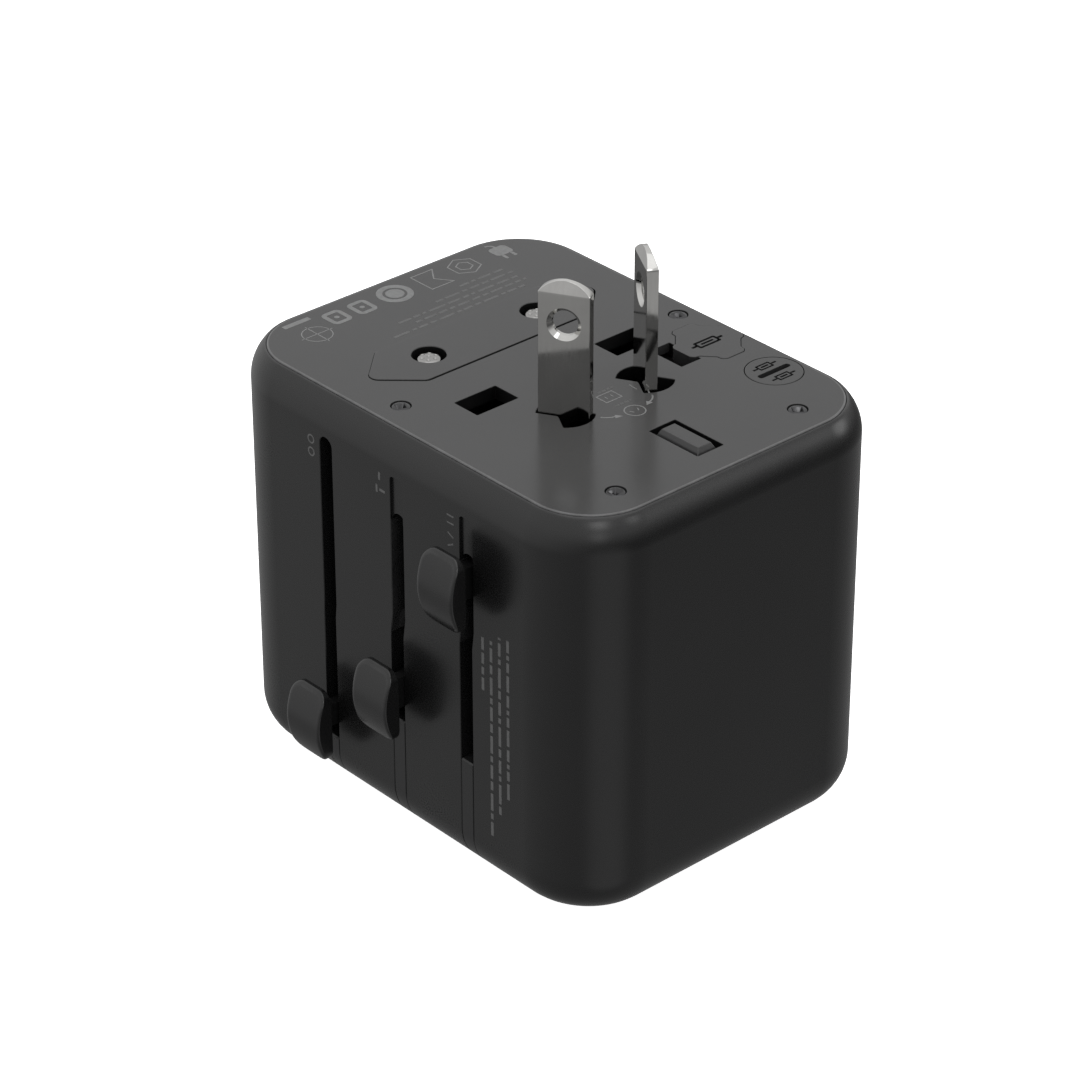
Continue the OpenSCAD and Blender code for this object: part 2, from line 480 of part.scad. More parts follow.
main_housing();
top_plate();
socket_cover();
plate_screws();
inner_chassis();
contact_carrier();
socket_contact_live();
socket_contact_neutral();
live_busbar();
neutral_busbar();
shutter_plate();
shutter_spring();
uk_carriage();
uk_line_pins();
uk_pin_sleeves();
uk_earth_pin();
uk_wipers();
uk_knob();
us_carriage();
us_knob();
us_blade_front();
us_blade_back();
us_contacts();
eu_platform();
eu_carriage();
eu_pins();
eu_pin_sleeves();
eu_wipers();
eu_knob();
fuse_chambers();
fuse_clips();
fuse_holder();
fuse_body();
fuse_end_caps();
spare_fuse_cap();
spare_fuse_body();
spare_fuse_end_caps();
usb_board();
usb_ports();
usb_tongues();
usb_transformer_core();
usb_transformer_winding();
usb_capacitors();
usb_wires();
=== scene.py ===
import math

import bmesh
import bpy
import numpy as np
from mathutils import Matrix, Vector

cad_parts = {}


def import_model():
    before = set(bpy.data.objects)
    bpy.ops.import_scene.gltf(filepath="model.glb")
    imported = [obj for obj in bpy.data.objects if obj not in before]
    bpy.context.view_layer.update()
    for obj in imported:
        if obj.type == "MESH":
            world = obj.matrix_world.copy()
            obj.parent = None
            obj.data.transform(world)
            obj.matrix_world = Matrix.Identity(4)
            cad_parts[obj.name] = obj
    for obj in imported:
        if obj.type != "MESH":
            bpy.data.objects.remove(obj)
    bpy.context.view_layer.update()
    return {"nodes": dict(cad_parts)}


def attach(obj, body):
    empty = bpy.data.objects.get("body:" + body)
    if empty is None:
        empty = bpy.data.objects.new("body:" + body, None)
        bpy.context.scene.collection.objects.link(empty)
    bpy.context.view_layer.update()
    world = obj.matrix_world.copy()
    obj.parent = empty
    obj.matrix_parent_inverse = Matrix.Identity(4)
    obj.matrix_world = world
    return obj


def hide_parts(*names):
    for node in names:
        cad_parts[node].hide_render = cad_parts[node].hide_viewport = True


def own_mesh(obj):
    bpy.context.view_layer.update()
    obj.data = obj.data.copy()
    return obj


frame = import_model()
scene = bpy.context.scene
pi = math.pi

# ------------------------------------------------------------------ sizes, in mm, as in the CAD
MM = 0.001
HW, HD, H = 33.0, 25.05, 54.7
CORNER_R, EDGE_R, EDGE_H, BOTTOM_R = 10.4, 5.9, 4.3, 6.15
CAV_X, CAV_Y, CAV_R = HW - 2.6, HD - 2.6, CORNER_R - 2.6
PLATE_Z = H - 1.8
TOP_INSET = EDGE_R - math.sqrt(EDGE_R ** 2 - EDGE_H ** 2)
FRONT = -HD
SLOTS = {"eu": (-12.2, 11.5), "uk": (0.66, 20.6), "us": (13.0, 41.2)}
UK_X, UK_Y, EARTH_X = 0.73, 11.1, 22.93
US_X, US_Y, US_TURN = 9.27, 6.35, 30.0
EU_X, EU_Y = -12.47, 8.65
FUSE_C, SPARE_C = (7.37, 18.2), (18.06, 19.05)
SCREWS = [(-4.95, -19.38), (26.6, -14.45), (26.6, 14.45), (-0.17, 20.7)]
SOCK_X, SOCK_EARTH_X = -1.5, 20.7


# ------------------------------------------------------------------ outlines
def circle(cx, cy, r, n=48, a0=0.0):
    return [(cx + r * math.cos(a0 + 2 * pi * k / n), cy + r * math.sin(a0 + 2 * pi * k / n)) for k in range(n)]


def rrect(hx, hy, r, n=8, cx=0.0, cy=0.0):
    """Rounded rectangle, counter-clockwise, n steps a corner."""
    r = max(min(r, hx - 1e-4, hy - 1e-4), 1e-4)
    out = []
    for sx, sy, a0 in ((1, -1, -pi / 2), (1, 1, 0), (-1, 1, pi / 2), (-1, -1, pi)):
        for k in range(n + 1):
            a = a0 + pi / 2 * k / n
            out.append((cx + sx * (hx - r) + r * math.cos(a), cy + sy * (hy - r) + r * math.sin(a)))
    return out


def rounded(pts, r, n=5):
    """Polygon with every corner rounded to radius r (a number, or one per corner)."""
    out, m = [], len(pts)
    for i in range(m):
        p, a, b = Vector(pts[i]), Vector(pts[i - 1]), Vector(pts[(i + 1) % m])
        rr = r[i] if isinstance(r, (list, tuple)) else r
        u, v = (a - p).normalized(), (b - p).normalized()
        half = math.acos(max(-1, min(1, u.dot(v)))) / 2
        if rr < 1e-5 or abs(half - pi / 2) < 1e-3:
            out.append(tuple(p))
            continue
        t = min(rr / math.tan(half), 0.49 * min((a - p).length, (b - p).length))
        rr = t * math.tan(half)
        c = p + (u + v).normalized() * (rr / math.sin(half))
        s, e = p + u * t - c, p + v * t - c
        t0 = math.atan2(s.y, s.x)
        d = math.atan2(e.y, e.x) - t0
        d = d - 2 * pi if d > pi else d + 2 * pi if d < -pi else d
        for k in range(n + 1):
            out.append((c.x + rr * math.cos(t0 + d * k / n), c.y + rr * math.sin(t0 + d * k / n)))
    return out


def inset(pts, d):
    """Moves a counter-clockwise outline inwards by d, with mitred corners."""
    out, m = [], len(pts)
    for i in range(m):
        p0, p1, p2 = Vector(pts[i - 1]), Vector(pts[i]), Vector(pts[(i + 1) % m])
        e1, e2 = (p1 - p0).normalized(), (p2 - p1).normalized()
        n1, n2 = Vector((e1.y, -e1.x)), Vector((e2.y, -e2.x))
        k = 1 + n1.dot(n2)
        q = p1 - (n1 + n2) / max(k, 0.2) * d
        out.append((q.x, q.y))
    return out


def turn(pts, deg, cx=0.0, cy=0.0, dx=0.0, dy=0.0):
    a = math.radians(deg)
    c, s = math.cos(a), math.sin(a)
    return [(cx + (x - cx) * c - (y - cy) * s + dx, cy + (x - cx) * s + (y - cy) * c + dy) for x, y in pts]


def shift(pts, dx, dy):
    return [(x + dx, y + dy) for x, y in pts]


# ------------------------------------------------------------------ meshes
def up(p, z):
    return (p[0], p[1], z)


def to_front(v):
    """Local (u, v, w) to the slider face: u along X, v along Z, w out of the face (-Y)."""
    return (v[0], -v[2], v[1])


def to_side(v):
    """Local (u, v, w): u along Y, v along Z, w along X."""
    return (v[2], v[0], v[1])


class Shape:
    """Vertices, faces and an edge value for each vertex, in mm; the edge value lightens rims, partly as wear and partly
    as a painted highlight.
    """

    def __init__(self):
        self.v, self.f, self.e = [], [], []

    def ring(self, pts, e=0.0):
        i = len(self.v)
        self.v += [tuple(p) for p in pts]
        self.e += [e] * len(pts)
        return list(range(i, i + len(pts)))

    def skin(self, a, b):
        n = len(a)
        for i in range(n):
            j = (i + 1) % n
            self.f.append((a[i], a[j], b[j], b[i]))

    def cap(self, a, flip=False):
        self.f.append(tuple(reversed(a)) if flip else tuple(a))

    def stack(self, rings, cap0=True, cap1=True):
        """rings: list of (points, edge value for wear and painted rim highlight)."""
        ids = [self.ring(p, e) for p, e in rings]
        for a, b in zip(ids, ids[1:]):
            self.skin(a, b)
        if cap0:
            self.cap(ids[0], True)
        if cap1:
            self.cap(ids[-1])
        return ids

    def prism(self, outline, z0, z1, b0=0.15, b1=0.15, seg=3, pad=0.12, fn=None):
        """Closed prism with rounded end edges, b0 at z0 and b1 at z1."""
        rings = []
        if b0 > 0:
            rings.append((inset(outline, b0 + pad), z0, 0.0))
            for k in range(seg + 1):
                t = pi / 2 * k / seg
                rings.append((inset(outline, b0 * (1 - math.sin(t))), z0 + b0 * (1 - math.cos(t)), 1.0))
            rings.append((outline, z0 + b0 + pad, 0.0))
        else:
            rings.append((outline, z0, 0.0))
        if b1 > 0:
            rings.append((outline, z1 - b1 - pad, 0.0))
            for k in range(seg + 1):
                t = pi / 2 * k / seg
                rings.append((inset(outline, b1 * (1 - math.cos(t))), z1 - b1 * (1 - math.sin(t)), 1.0))
            rings.append((inset(outline, b1 + pad), z1, 0.0))
        else:
            rings.append((outline, z1, 0.0))
        f = fn or (lambda v: v)
        self.stack([([f(up(p, z)) for p in r], e) for r, z, e in rings])
        return self

    def lathe(self, profile, cx=0.0, cy=0.0, n=48, fn=None):
        """profile: (r, z, edge value for wear and painted rim highlight) from the axis at the bottom to the axis at the
        top.
        """
        f = fn or (lambda v: v)
        first = prev = None
        for r, z, e in profile:
            if r < 1e-6:
                cur = self.ring([f((cx, cy, z))], e)
            else:
                cur = self.ring([f(up(p, z)) for p in circle(cx, cy, r, n)], e)
            if prev is not None:
                if len(prev) == 1 and len(cur) > 1:
                    for i in range(len(cur)):
                        self.f.append((prev[0], cur[(i + 1) % len(cur)], cur[i]))
                elif len(cur) == 1 and len(prev) > 1:
                    for i in range(len(prev)):
                        self.f.append((prev[i], prev[(i + 1) % len(prev)], cur[0]))
                elif len(cur) > 1:
                    self.skin(prev, cur)
            else:
                first = cur
            prev = cur
        if len(first) > 1:
            self.cap(first, True)
        if len(prev) > 1:
            self.cap(prev)
        return self

    def box(self, x0, x1, y0, y1, z0, z1, b=0.12, r=None, n=2):
        cx, cy = (x0 + x1) / 2, (y0 + y1) / 2
        return self.prism(rrect((x1 - x0) / 2, (y1 - y0) / 2, r or b, n, cx, cy), z0, z1, b, b, 2, b * 0.8)

    def plain(self):
        self.e = [0.0] * len(self.e)
        return self

    def build(self, name, merge=0.0):
        me = bpy.data.meshes.new(name)
        me.from_pydata([(x * MM, y * MM, z * MM) for x, y, z in self.v], [], self.f)
        a = me.attributes.new("edge", "FLOAT", "POINT")
        a.data.foreach_set("value", np.array(self.e, np.float32))
        bm = bmesh.new()
        bm.from_mesh(me)
        if merge:
            bmesh.ops.remove_doubles(bm, verts=bm.verts, dist=merge * MM)
            bmesh.ops.dissolve_degenerate(bm, edges=bm.edges, dist=merge * MM * 0.5)
        bmesh.ops.recalc_face_normals(bm, faces=bm.faces)
        bm.to_mesh(me)
        bm.free()
        me.update()
        ob = bpy.data.objects.new(name, me)
        scene.collection.objects.link(ob)
        return ob


def boolean(ob, cutters, op="DIFFERENCE"):
    """Applies each cutter shape to ob with the exact solver, and keeps only ob."""
    for i, c in enumerate(cutters):
        cut = c.build(f"cut_{ob.name}_{i}")
        cut.hide_render = True
        m = ob.modifiers.new("b", "BOOLEAN")
        m.object, m.operation, m.solver = cut, op, "EXACT"
        bpy.context.view_layer.update()
        dg = bpy.context.evaluated_depsgraph_get()
        me = bpy.data.meshes.new_from_object(ob.evaluated_get(dg), preserve_all_data_layers=True, depsgraph=dg)
        ob.modifiers.clear()
        old = ob.data
        ob.data = me
        bpy.data.meshes.remove(old)
        bpy.data.objects.remove(cut)
    me = ob.data
    bm = bmesh.new()
    bm.from_mesh(me)
    bmesh.ops.remove_doubles(bm, verts=bm.verts, dist=2e-6)
    bmesh.ops.dissolve_degenerate(bm, edges=bm.edges, dist=1e-6)
    bm.to_mesh(me)
    bm.free()
    me.update()
    # rim wear and the painted rim highlight must not spread over the large faces that the cutters leave
    edge_mask = me.attributes["edge"].data
    for f in me.polygons:
        if len(f.vertices) > 4 and f.area > 2e-6:
            for v in f.vertices:
                edge_mask[v].value = 0.0
    return ob


def finish_piece(ob, body, mat, nodes=(), sharp=32.0, weighted=True):
    me = ob.data
    me.shade_smooth()
    me.set_sharp_from_angle(angle=math.radians(sharp))
    if weighted:
        m = ob.modifiers.new("even_normals", "WEIGHTED_NORMAL")
        m.keep_sharp = True
        m.weight = 60
    for x in mat if isinstance(mat, (list, tuple)) else [mat]:
        me.materials.append(x)
    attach(ob, body)
    if nodes:
        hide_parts(*nodes)
    return ob


# ------------------------------------------------------------------ materials
class Nodes:
    def __init__(self, name):
        self.m = bpy.data.materials.new(name)
        self.m.use_nodes = True
        self.t = self.m.node_tree
        self.t.nodes.clear()
        self.out = self.t.nodes.new("ShaderNodeOutputMaterial")
        self.b = self.t.nodes.new("ShaderNodeBsdfPrincipled")
        self.t.links.new(self.b.outputs[0], self.out.inputs[0])
        self.co = self.t.nodes.new("ShaderNodeTexCoord").outputs["Object"]

    def link(self, a, b):
        self.t.links.new(a, b)

    def noise(self, scale, detail=2.0, rough=0.5, stretch=None, offset=(0, 0, 0)):
        n = self.t.nodes.new("ShaderNodeTexNoise")
        n.inputs["Scale"].default_value = scale
        n.inputs["Detail"].default_value = detail
        n.inputs["Roughness"].default_value = rough
        mp = self.t.nodes.new("ShaderNodeMapping")
        mp.inputs["Scale"].default_value = stretch or (1, 1, 1)
        mp.inputs["Location"].default_value = offset
        self.link(self.co, mp.inputs[0])
        self.link(mp.outputs[0], n.inputs["Vector"])
        return n.outputs[0]

    def remap(self, x, a, b, c, d, smooth=False):
        n = self.t.nodes.new("ShaderNodeMapRange")
        n.interpolation_type = "SMOOTHSTEP" if smooth else "LINEAR"
        for k, val in zip(("From Min", "From Max", "To Min", "To Max"), (a, b, c, d)):
            n.inputs[k].default_value = val
        self.link(x, n.inputs["Value"])
        return n.outputs[0]

    def math(self, op, a, b=None):
        n = self.t.nodes.new("ShaderNodeMath")
        n.operation = op
        for i, x in enumerate((a, b)):
            if x is None:
                continue
            if isinstance(x, (int, float)):
                n.inputs[i].default_value = x
            else:
                self.link(x, n.inputs[i])
        return n.outputs[0]

    def mix(self, f, a, b):
        n = self.t.nodes.new("ShaderNodeMix")
        n.data_type = "RGBA"
        if isinstance(f, (int, float)):
            n.inputs[0].default_value = f
        else:
            self.link(f, n.inputs[0])
        for i, x in ((6, a), (7, b)):
            if isinstance(x, tuple):
                n.inputs[i].default_value = (*x[:3], 1)
            else:
                self.link(x, n.inputs[i])
        return n.outputs[2]

    def attr(self, name):
        n = self.t.nodes.new("ShaderNodeAttribute")
        n.attribute_name = name
        return n.outputs["Fac"]

    def bump(self, height, dist, strength=1.0, normal=None):
        n = self.t.nodes.new("ShaderNodeBump")
        n.inputs["Distance"].default_value = dist
        n.inputs["Strength"].default_value = strength
        self.link(height, n.inputs["Height"])
        if normal is not None:
            self.link(normal, n.inputs["Normal"])
        return n.outputs[0]

    def set(self, name, value):
        self.b.inputs[name].default_value = value


def plastic(name, base, rough=0.35, spec=0.5, var=0.12, grain=0.000004, wear_and_highlight=0.35, smudge=0.04, bright=2.2, rim=False, edge_breakup_min=0.25):
    """Moulded plastic: low-frequency tone change, fine spark-eroded grain, handling smudges, polished edges whose
    colour is lightened, partly as wear and partly as a painted highlight.
    """
    n = Nodes(name)
    dark = tuple(c * (1 - var) for c in base)
    light = tuple(c * (1 + var) for c in base)
    big = n.remap(n.noise(55, 3), 0.3, 0.7, 0, 1)
    fine = n.noise(4200, 3, 0.6)
    col = n.mix(big, dark, light)
    col = n.mix(n.remap(fine, 0.35, 0.75, 0, 0.16), col, tuple(min(1, c * 1.5) for c in base))
    # edge mask: lightens the colour along rims, partly wear and partly a painted highlight
    edge = n.attr("edge")
    edge_breakup = n.remap(n.noise(420, 4, 0.7, offset=(0.3, 0.1, 0.7)), 0.4, 0.62, edge_breakup_min, 1)
    w = n.math("MULTIPLY", n.math("MULTIPLY", edge, edge_breakup), wear_and_highlight)
    col = n.mix(w, col, tuple(min(1, c * bright + 0.004) for c in base))
    n.link(col, n.b.inputs["Base Color"])
    sm = n.remap(n.noise(95, 5, 0.62, stretch=(1, 1.6, 1), offset=(0.2, 0.5, 0.1)), 0.35, 0.7, -smudge, smudge)
    r = n.math("ADD", sm, rough)
    r = n.math("ADD", r, n.remap(fine, 0.3, 0.7, -0.025, 0.025))
    r = n.math("SUBTRACT", r, n.math("MULTIPLY", w, 0.12))
    n.link(r, n.b.inputs["Roughness"])
    n.link(n.bump(fine, grain, 0.9, n.bump(n.noise(700, 2), grain * 1.2, 0.35)), n.b.inputs["Normal"])
    n.set("IOR", 1.5)
    n.set("Specular IOR Level", spec)
    return n.m


def metal(name, base, rough=0.28, var=0.06, brushed=(1, 1, 0.06), scale=2600, depth=0.0000025, wear_and_highlight=0.3, stain=0.35, streaks=0.06):
    """Plated or stamped metal: brushed streaks, faint stains, brighter rubbed edges whose lighter colour is partly a
    painted highlight.
    """
    n = Nodes(name)
    streak = n.noise(scale, 3, 0.65, stretch=brushed)
    big = n.remap(n.noise(160, 4, 0.6), 0.35, 0.7, 0, 1)
    col = n.mix(big, tuple(c * (1 - var) for c in base), tuple(min(1, c * (1 + var)) for c in base))
    col = n.mix(n.remap(streak, 0.35, 0.65, 0, stain), col, tuple(c * 0.78 for c in base))
    # edge mask: lighter colour along rims, partly rubbing and partly a painted highlight
    w = n.math("MULTIPLY", n.attr("edge"), wear_and_highlight)
    col = n.mix(w, col, tuple(min(1, c * 1.25) for c in base))
    n.link(col, n.b.inputs["Base Color"])
    r = n.math("ADD", n.remap(streak, 0.3, 0.7, -streaks, streaks), rough)
    r = n.math("ADD", r, n.remap(big, 0, 1, -0.03, 0.03))
    r = n.math("SUBTRACT", r, n.math("MULTIPLY", w, 0.15))
    n.link(r, n.b.inputs["Roughness"])
    n.link(n.bump(streak, depth, 0.8), n.b.inputs["Normal"])
    n.set("Metallic", 1.0)
    return n.m


def ink(name, base, rough=0.45):
    """Pad-printed ink: slightly uneven cover and a fine orange-peel surface."""
    n = Nodes(name)
    cover = n.remap(n.noise(2400, 3, 0.6), 0.3, 0.75, 0, 1)
    n.link(n.mix(cover, tuple(c * 0.82 for c in base), tuple(min(1, c * 1.12) for c in base)), n.b.inputs["Base Color"])
    n.link(n.remap(n.noise(900, 2), 0.3, 0.7, rough - 0.05, rough + 0.06), n.b.inputs["Roughness"])
    n.link(n.bump(n.noise(3600, 2), 0.000003, 0.5), n.b.inputs["Normal"])
    return n.m


def gloss(name, base, rough=0.15, var=0.1, speck=0.0, dark=(0, 0, 0), scale=300):
    """Glazed or lacquered part: soft mottling, small specks and a light orange-peel."""
    n = Nodes(name)
    big = n.remap(n.noise(scale, 4, 0.6), 0.3, 0.7, 0, 1)
    col = n.mix(big, tuple(c * (1 - var) for c in base), tuple(min(1, c * (1 + var)) for c in base))
    if speck:
        col = n.mix(n.remap(n.noise(5200, 2), 0.62, 0.7, 0, speck), col, dark)
    w = n.math("MULTIPLY", n.attr("edge"), 0.25)
    col = n.mix(w, col, tuple(min(1, c * 1.3 + 0.02) for c in base))
    n.link(col, n.b.inputs["Base Color"])
    n.link(n.math("ADD", n.remap(n.noise(240, 3), 0.3, 0.7, -0.04, 0.06), rough), n.b.inputs["Roughness"])
    n.link(n.bump(n.noise(1500, 2), 0.000004, 0.6), n.b.inputs["Normal"])
    return n.m


# shell, plate and knob: the strong edge lightening paints a highlight line along their rims and the plate seam
SHELL = plastic("shell_satin_black", (0.0082, 0.0082, 0.0084), 0.27, 0.5, grain=0.0000004, smudge=0.02, wear_and_highlight=0.8, bright=4.0, edge_breakup_min=0.6)
PLATE = plastic("plate_satin_grey", (0.029, 0.029, 0.0293), 0.21, 0.5, var=0.05, grain=0.000002, smudge=0.025, wear_and_highlight=0.9, bright=4.6, edge_breakup_min=0.7)
COVER = plastic("cover_satin_black", (0.010, 0.010, 0.0103), 0.32, 0.5)
KNOB = plastic("knob_satin_black", (0.0075, 0.0075, 0.0077), 0.24, 0.5, grain=0.0000008, wear_and_highlight=0.6, bright=4.0, smudge=0.05)
DARKFRAME = plastic("frame_black_plastic", (0.0025, 0.0025, 0.0026), 0.6, 0.15)
# near-black sheet for the walls of the plate openings and the EU platform sides: painted shade
HOLE_SHADE = plastic("hole_wall_painted_shade", (0.0022, 0.0022, 0.0023), 0.55, 0.15)
SLIDER = plastic("slider_black_nylon", (0.004, 0.004, 0.0041), 0.5, 0.25)
SLEEVE = plastic("sleeve_black", (0.006, 0.006, 0.006), 0.42, 0.35)
EARTH = plastic("earth_pin_grey_nylon", (0.029, 0.029, 0.0293), 0.23, 0.5, var=0.05, grain=0.000002, wear_and_highlight=0.05)
FUSECAP = plastic("fuse_cap_satin_grey", (0.029, 0.029, 0.0293), 0.21, 0.5, var=0.05, grain=0.000002, smudge=0.025, wear_and_highlight=0.08)
# near-black material for engraving and slot floors: painted shade
ENGRAVING_SHADE = plastic("engraved_shadow_black", (0.0012, 0.0012, 0.0012), 0.7, 0.08)
NYLON = plastic("carrier_natural_nylon", (0.70, 0.68, 0.60), 0.5, 0.4, var=0.06, bright=1.15)
ACETAL = plastic("shutter_acetal", (0.62, 0.62, 0.59), 0.42, 0.45, var=0.06, bright=1.15)
PORTPLASTIC = plastic("port_white_plastic", (0.72, 0.72, 0.70), 0.4, 0.45, var=0.05, bright=1.1)
FERRITE = plastic("sintered_ferrite", (0.028, 0.028, 0.031), 0.7, 0.4, grain=0.00002)
NICKEL = metal("blade_satin_nickel", (0.485, 0.48, 0.467), 0.09, stain=0.1, depth=0.0000003, streaks=0.02)
# brighter copy of the blade nickel for the tip faces and hole chamfer: partly polish, partly a painted highlight
POLISHED_AND_HIGHLIT = metal("blade_nickel_polish_and_highlight", (0.56, 0.555, 0.54), 0.09, stain=0.08, brushed=(1, 1, 1), depth=0.0000003, streaks=0.02)
PINNICKEL = metal("pin_bright_nickel", (0.33, 0.326, 0.32), 0.16, brushed=(1, 1, 1), scale=1500, depth=0.000006, stain=0.25)
SCREWSTEEL = metal("screw_black_oxide", (0.075, 0.075, 0.077), 0.2, brushed=(1, 1, 1), scale=1800, depth=0.000012, wear_and_highlight=0.5)
BRASS = metal("stamped_brass", (0.74, 0.54, 0.22), 0.3, brushed=(0.08, 1, 1), stain=0.5)
SPRING = metal("drawn_spring_wire", (0.6, 0.61, 0.62), 0.3, brushed=(0.1, 1, 1))
PORTSTEEL = metal("port_stamped_steel", (0.62, 0.63, 0.64), 0.26, brushed=(0.06, 1, 1))
FUSEMETAL = metal("fuse_nickel_cap", (0.72, 0.72, 0.73), 0.18)
GOLD = metal("contact_gold_flash", (0.86, 0.66, 0.26), 0.24, brushed=(0.06, 1, 1))
CERAMIC = gloss("fuse_glazed_ceramic", (0.83, 0.80, 0.73), 0.12, 0.04)
BOARD = gloss("board_solder_mask", (0.012, 0.105, 0.045), 0.2, 0.25, 0.5, (0.45, 0.4, 0.15))
TAPE = gloss("winding_polyester_tape", (0.66, 0.48, 0.05), 0.22, 0.08)
CAPSLEEVE = gloss("capacitor_shrink_sleeve", (0.012, 0.02, 0.085), 0.2, 0.12)
WIRE = gloss("wire_insulation_red", (0.36, 0.018, 0.014), 0.32, 0.12)
INK = ink("printed_grey", (0.175, 0.177, 0.177))
INK_THIN = ink("printed_grey_thin", (0.2, 0.201, 0.201))
INK_FAINT = ink("printed_grey_faint", (0.09, 0.09, 0.09))
INK_FACE = ink("printed_face_grey", (0.11, 0.11, 0.11))

# ------------------------------------------------------------------ housing shell
# slot outlines on the slider face, (x, z): the lower part steps a little towards -X
SLOT_TOP = {"eu": 49.5, "uk": 44.5, "us": 44.5}
SLOT_EDGES = {  # upper left, upper right, lower left, lower right, z of the step's top and foot
    "eu": (-13.32, -11.10, -13.40, -11.30, 27.0, 25.2),
    "uk": (-0.46, 1.78, -0.77, 1.40, 30.6, 28.0),
    "us": (11.88, 14.12, 11.64, 13.82, 34.6, 32.2),
}
TONGUE_Z = {"eu": 7.75, "uk": 16.2, "us": 16.2}


def slot_outline(k, z_low):
    ul, ur, ll, lr, za, zb = SLOT_EDGES[k]
    top, r = SLOT_TOP[k], (ur - ul) / 2 - 0.02
    pts = [(ll, z_low), (lr, z_low), (lr, zb), (ur, za), (ur, top), (ul, top), (ul, za), (ll, zb)]
    return rounded(pts, [0.0, 0.0, 0.5, 0.5, r, r, 0.5, 0.5], 10)


def shell():
    n = 24

    def ring(d, z):
        return [up(p, z) for p in rrect(HW - d, HD - d, CORNER_R - d, n)]

    def open_ring(g, z):
        return [up(p, z) for p in rrect(25.75 + g, 17.75 + g, 6.15 + g, n)]

    rings = [(open_ring(0, 2.6), 0), (open_ring(0, 0.4), 0), (open_ring(0, 0.25), 0)]
    for k in range(5):
        t = pi / 2 * k / 4
        rings.append((open_ring(0.2 * (1 - math.cos(t)), 0.2 * (1 - math.sin(t))), 1))
    rings.append((open_ring(0.35, 0), 0))
    for k in range(15):
        t = pi / 2 * k / 14
        rings.append((ring(BOTTOM_R * (1 - math.sin(t)), BOTTOM_R * (1 - math.cos(t))), 0))
    rings.append((ring(0, BOTTOM_R + 2.0), 0))
    rings.append((ring(0, H - EDGE_H - 2.0), 0))
    t_end = math.asin((EDGE_H - 0.26) / EDGE_R)
    for k in range(13):
        t = t_end * k / 12
        rings.append((ring(EDGE_R * (1 - math.cos(t)), H - EDGE_H + EDGE_R * math.sin(t)), 0))
    # the rim rings carry edge values that paint a highlight along the seam to the plate
    rings.append((ring(TOP_INSET - 0.12, H - 0.17), 0.5))
    rings.append((ring(TOP_INSET + 0.0, H - 0.13), 1))
    rings.append((ring(TOP_INSET + 0.09, H - 0.15), 1))
    rings.append((ring(TOP_INSET + 0.15, H - 0.24), 0.2))
    rings.append((ring(TOP_INSET + 0.15, H - 0.5), 0))
    rings.append((ring(TOP_INSET + 0.15, PLATE_Z), 0))
    rings.append((ring(2.6, PLATE_Z), 0))
    rings.append((ring(2.6, 2.6), 0))
    s = Shape()
    ids = [s.ring(p, e) for p, e in rings]
    for a, b in zip(ids, ids[1:]):
        s.skin(a, b)
    s.skin(ids[-1], ids[0])
    ob = s.build("housing_shell")
    cuts = []
    slots, channels, grooves = Shape(), Shape(), Shape()
    ring_at = lambda o, g, w: [to_front((x, z, w)) for x, z in inset(o, -g)]
    for k in SLOTS:
        ul, ur, ll, lr, za, zb = SLOT_EDGES[k]
        o = slot_outline(k, -1.5)
        slots.stack([(ring_at(o, 0, -FRONT - 5.03), 0), (ring_at(o, 0, -FRONT - 0.08), 0), (ring_at(o, 0.08, -FRONT), 0), (ring_at(o, 0.45, -FRONT + 0.37), 0)])
        # the slot runs on through the base to the socket cover
        channels.stack([([up(p, z) for p in rrect((lr - ll) / 2 - 0.004, 5.0, 0.01, 1, (ll + lr) / 2, -22.0)], 0) for z in (-1, 2.75)])
    for k in ("uk", "us"):
        # shallow groove that carries on above the slot
        ul, ur = SLOT_EDGES[k][:2]
        o = rounded([(ul + 0.003, 42.1), (ur - 0.003, 42.1), (ur - 0.003, 49.3), (ul + 0.003, 49.3)], [0, 0, 1.05, 0.5], 8)
        grooves.stack([(ring_at(o, 0, -FRONT - 0.34), 0), (ring_at(o, 0, -FRONT - 0.05), 0), (ring_at(o, 0.05, -FRONT), 0), (ring_at(o, 0.4, -FRONT + 0.35), 0)])
    cuts += [slots, channels, grooves]
    for sy in (-1, 1):
        o = rrect(6.7, 3.02, 0.7, 5, sy * 7.6, 16.0)
        c = Shape()
        g3 = lambda g, x: [(x, y, z) for y, z in inset(o, -g)]
        c.stack([(g3(0.65, -HW - 0.35), 0), (g3(0.3, -HW), 1), (g3(0, -HW + 0.3), 0), (g3(0, -CAV_X + 1), 0)])
        cuts.append(c)
    boolean(ob, cuts)
    return finish_piece(ob, "housing", SHELL, ["main_housing"], 30)


shell_ob = shell()

# ------------------------------------------------------------------ top plate
HEX = [(4.8, -13), (4.8, 13), (0.55, 17.6), (-0.55, 17.6), (-4.8, 13), (-4.8, -13), (-0.55, -17.6), (0.55, -17.6)]


def fuse_outline():
    q = [(4.74, 1.35), (4.3, 1.88), (3.58, 1.98), (2.08, 3.42), (1.92, 4.02), (1.45, 4.42)]
    pts = q + [(-x, y) for x, y in reversed(q)] + [(-x, -y) for x, y in q] + [(x, -y) for x, y in reversed(q)]
    r = [0.45, 0.2, 0.18, 0.18, 0.2, 0.45]
    return rounded(pts, r + r[::-1] + r + r[::-1], 4)


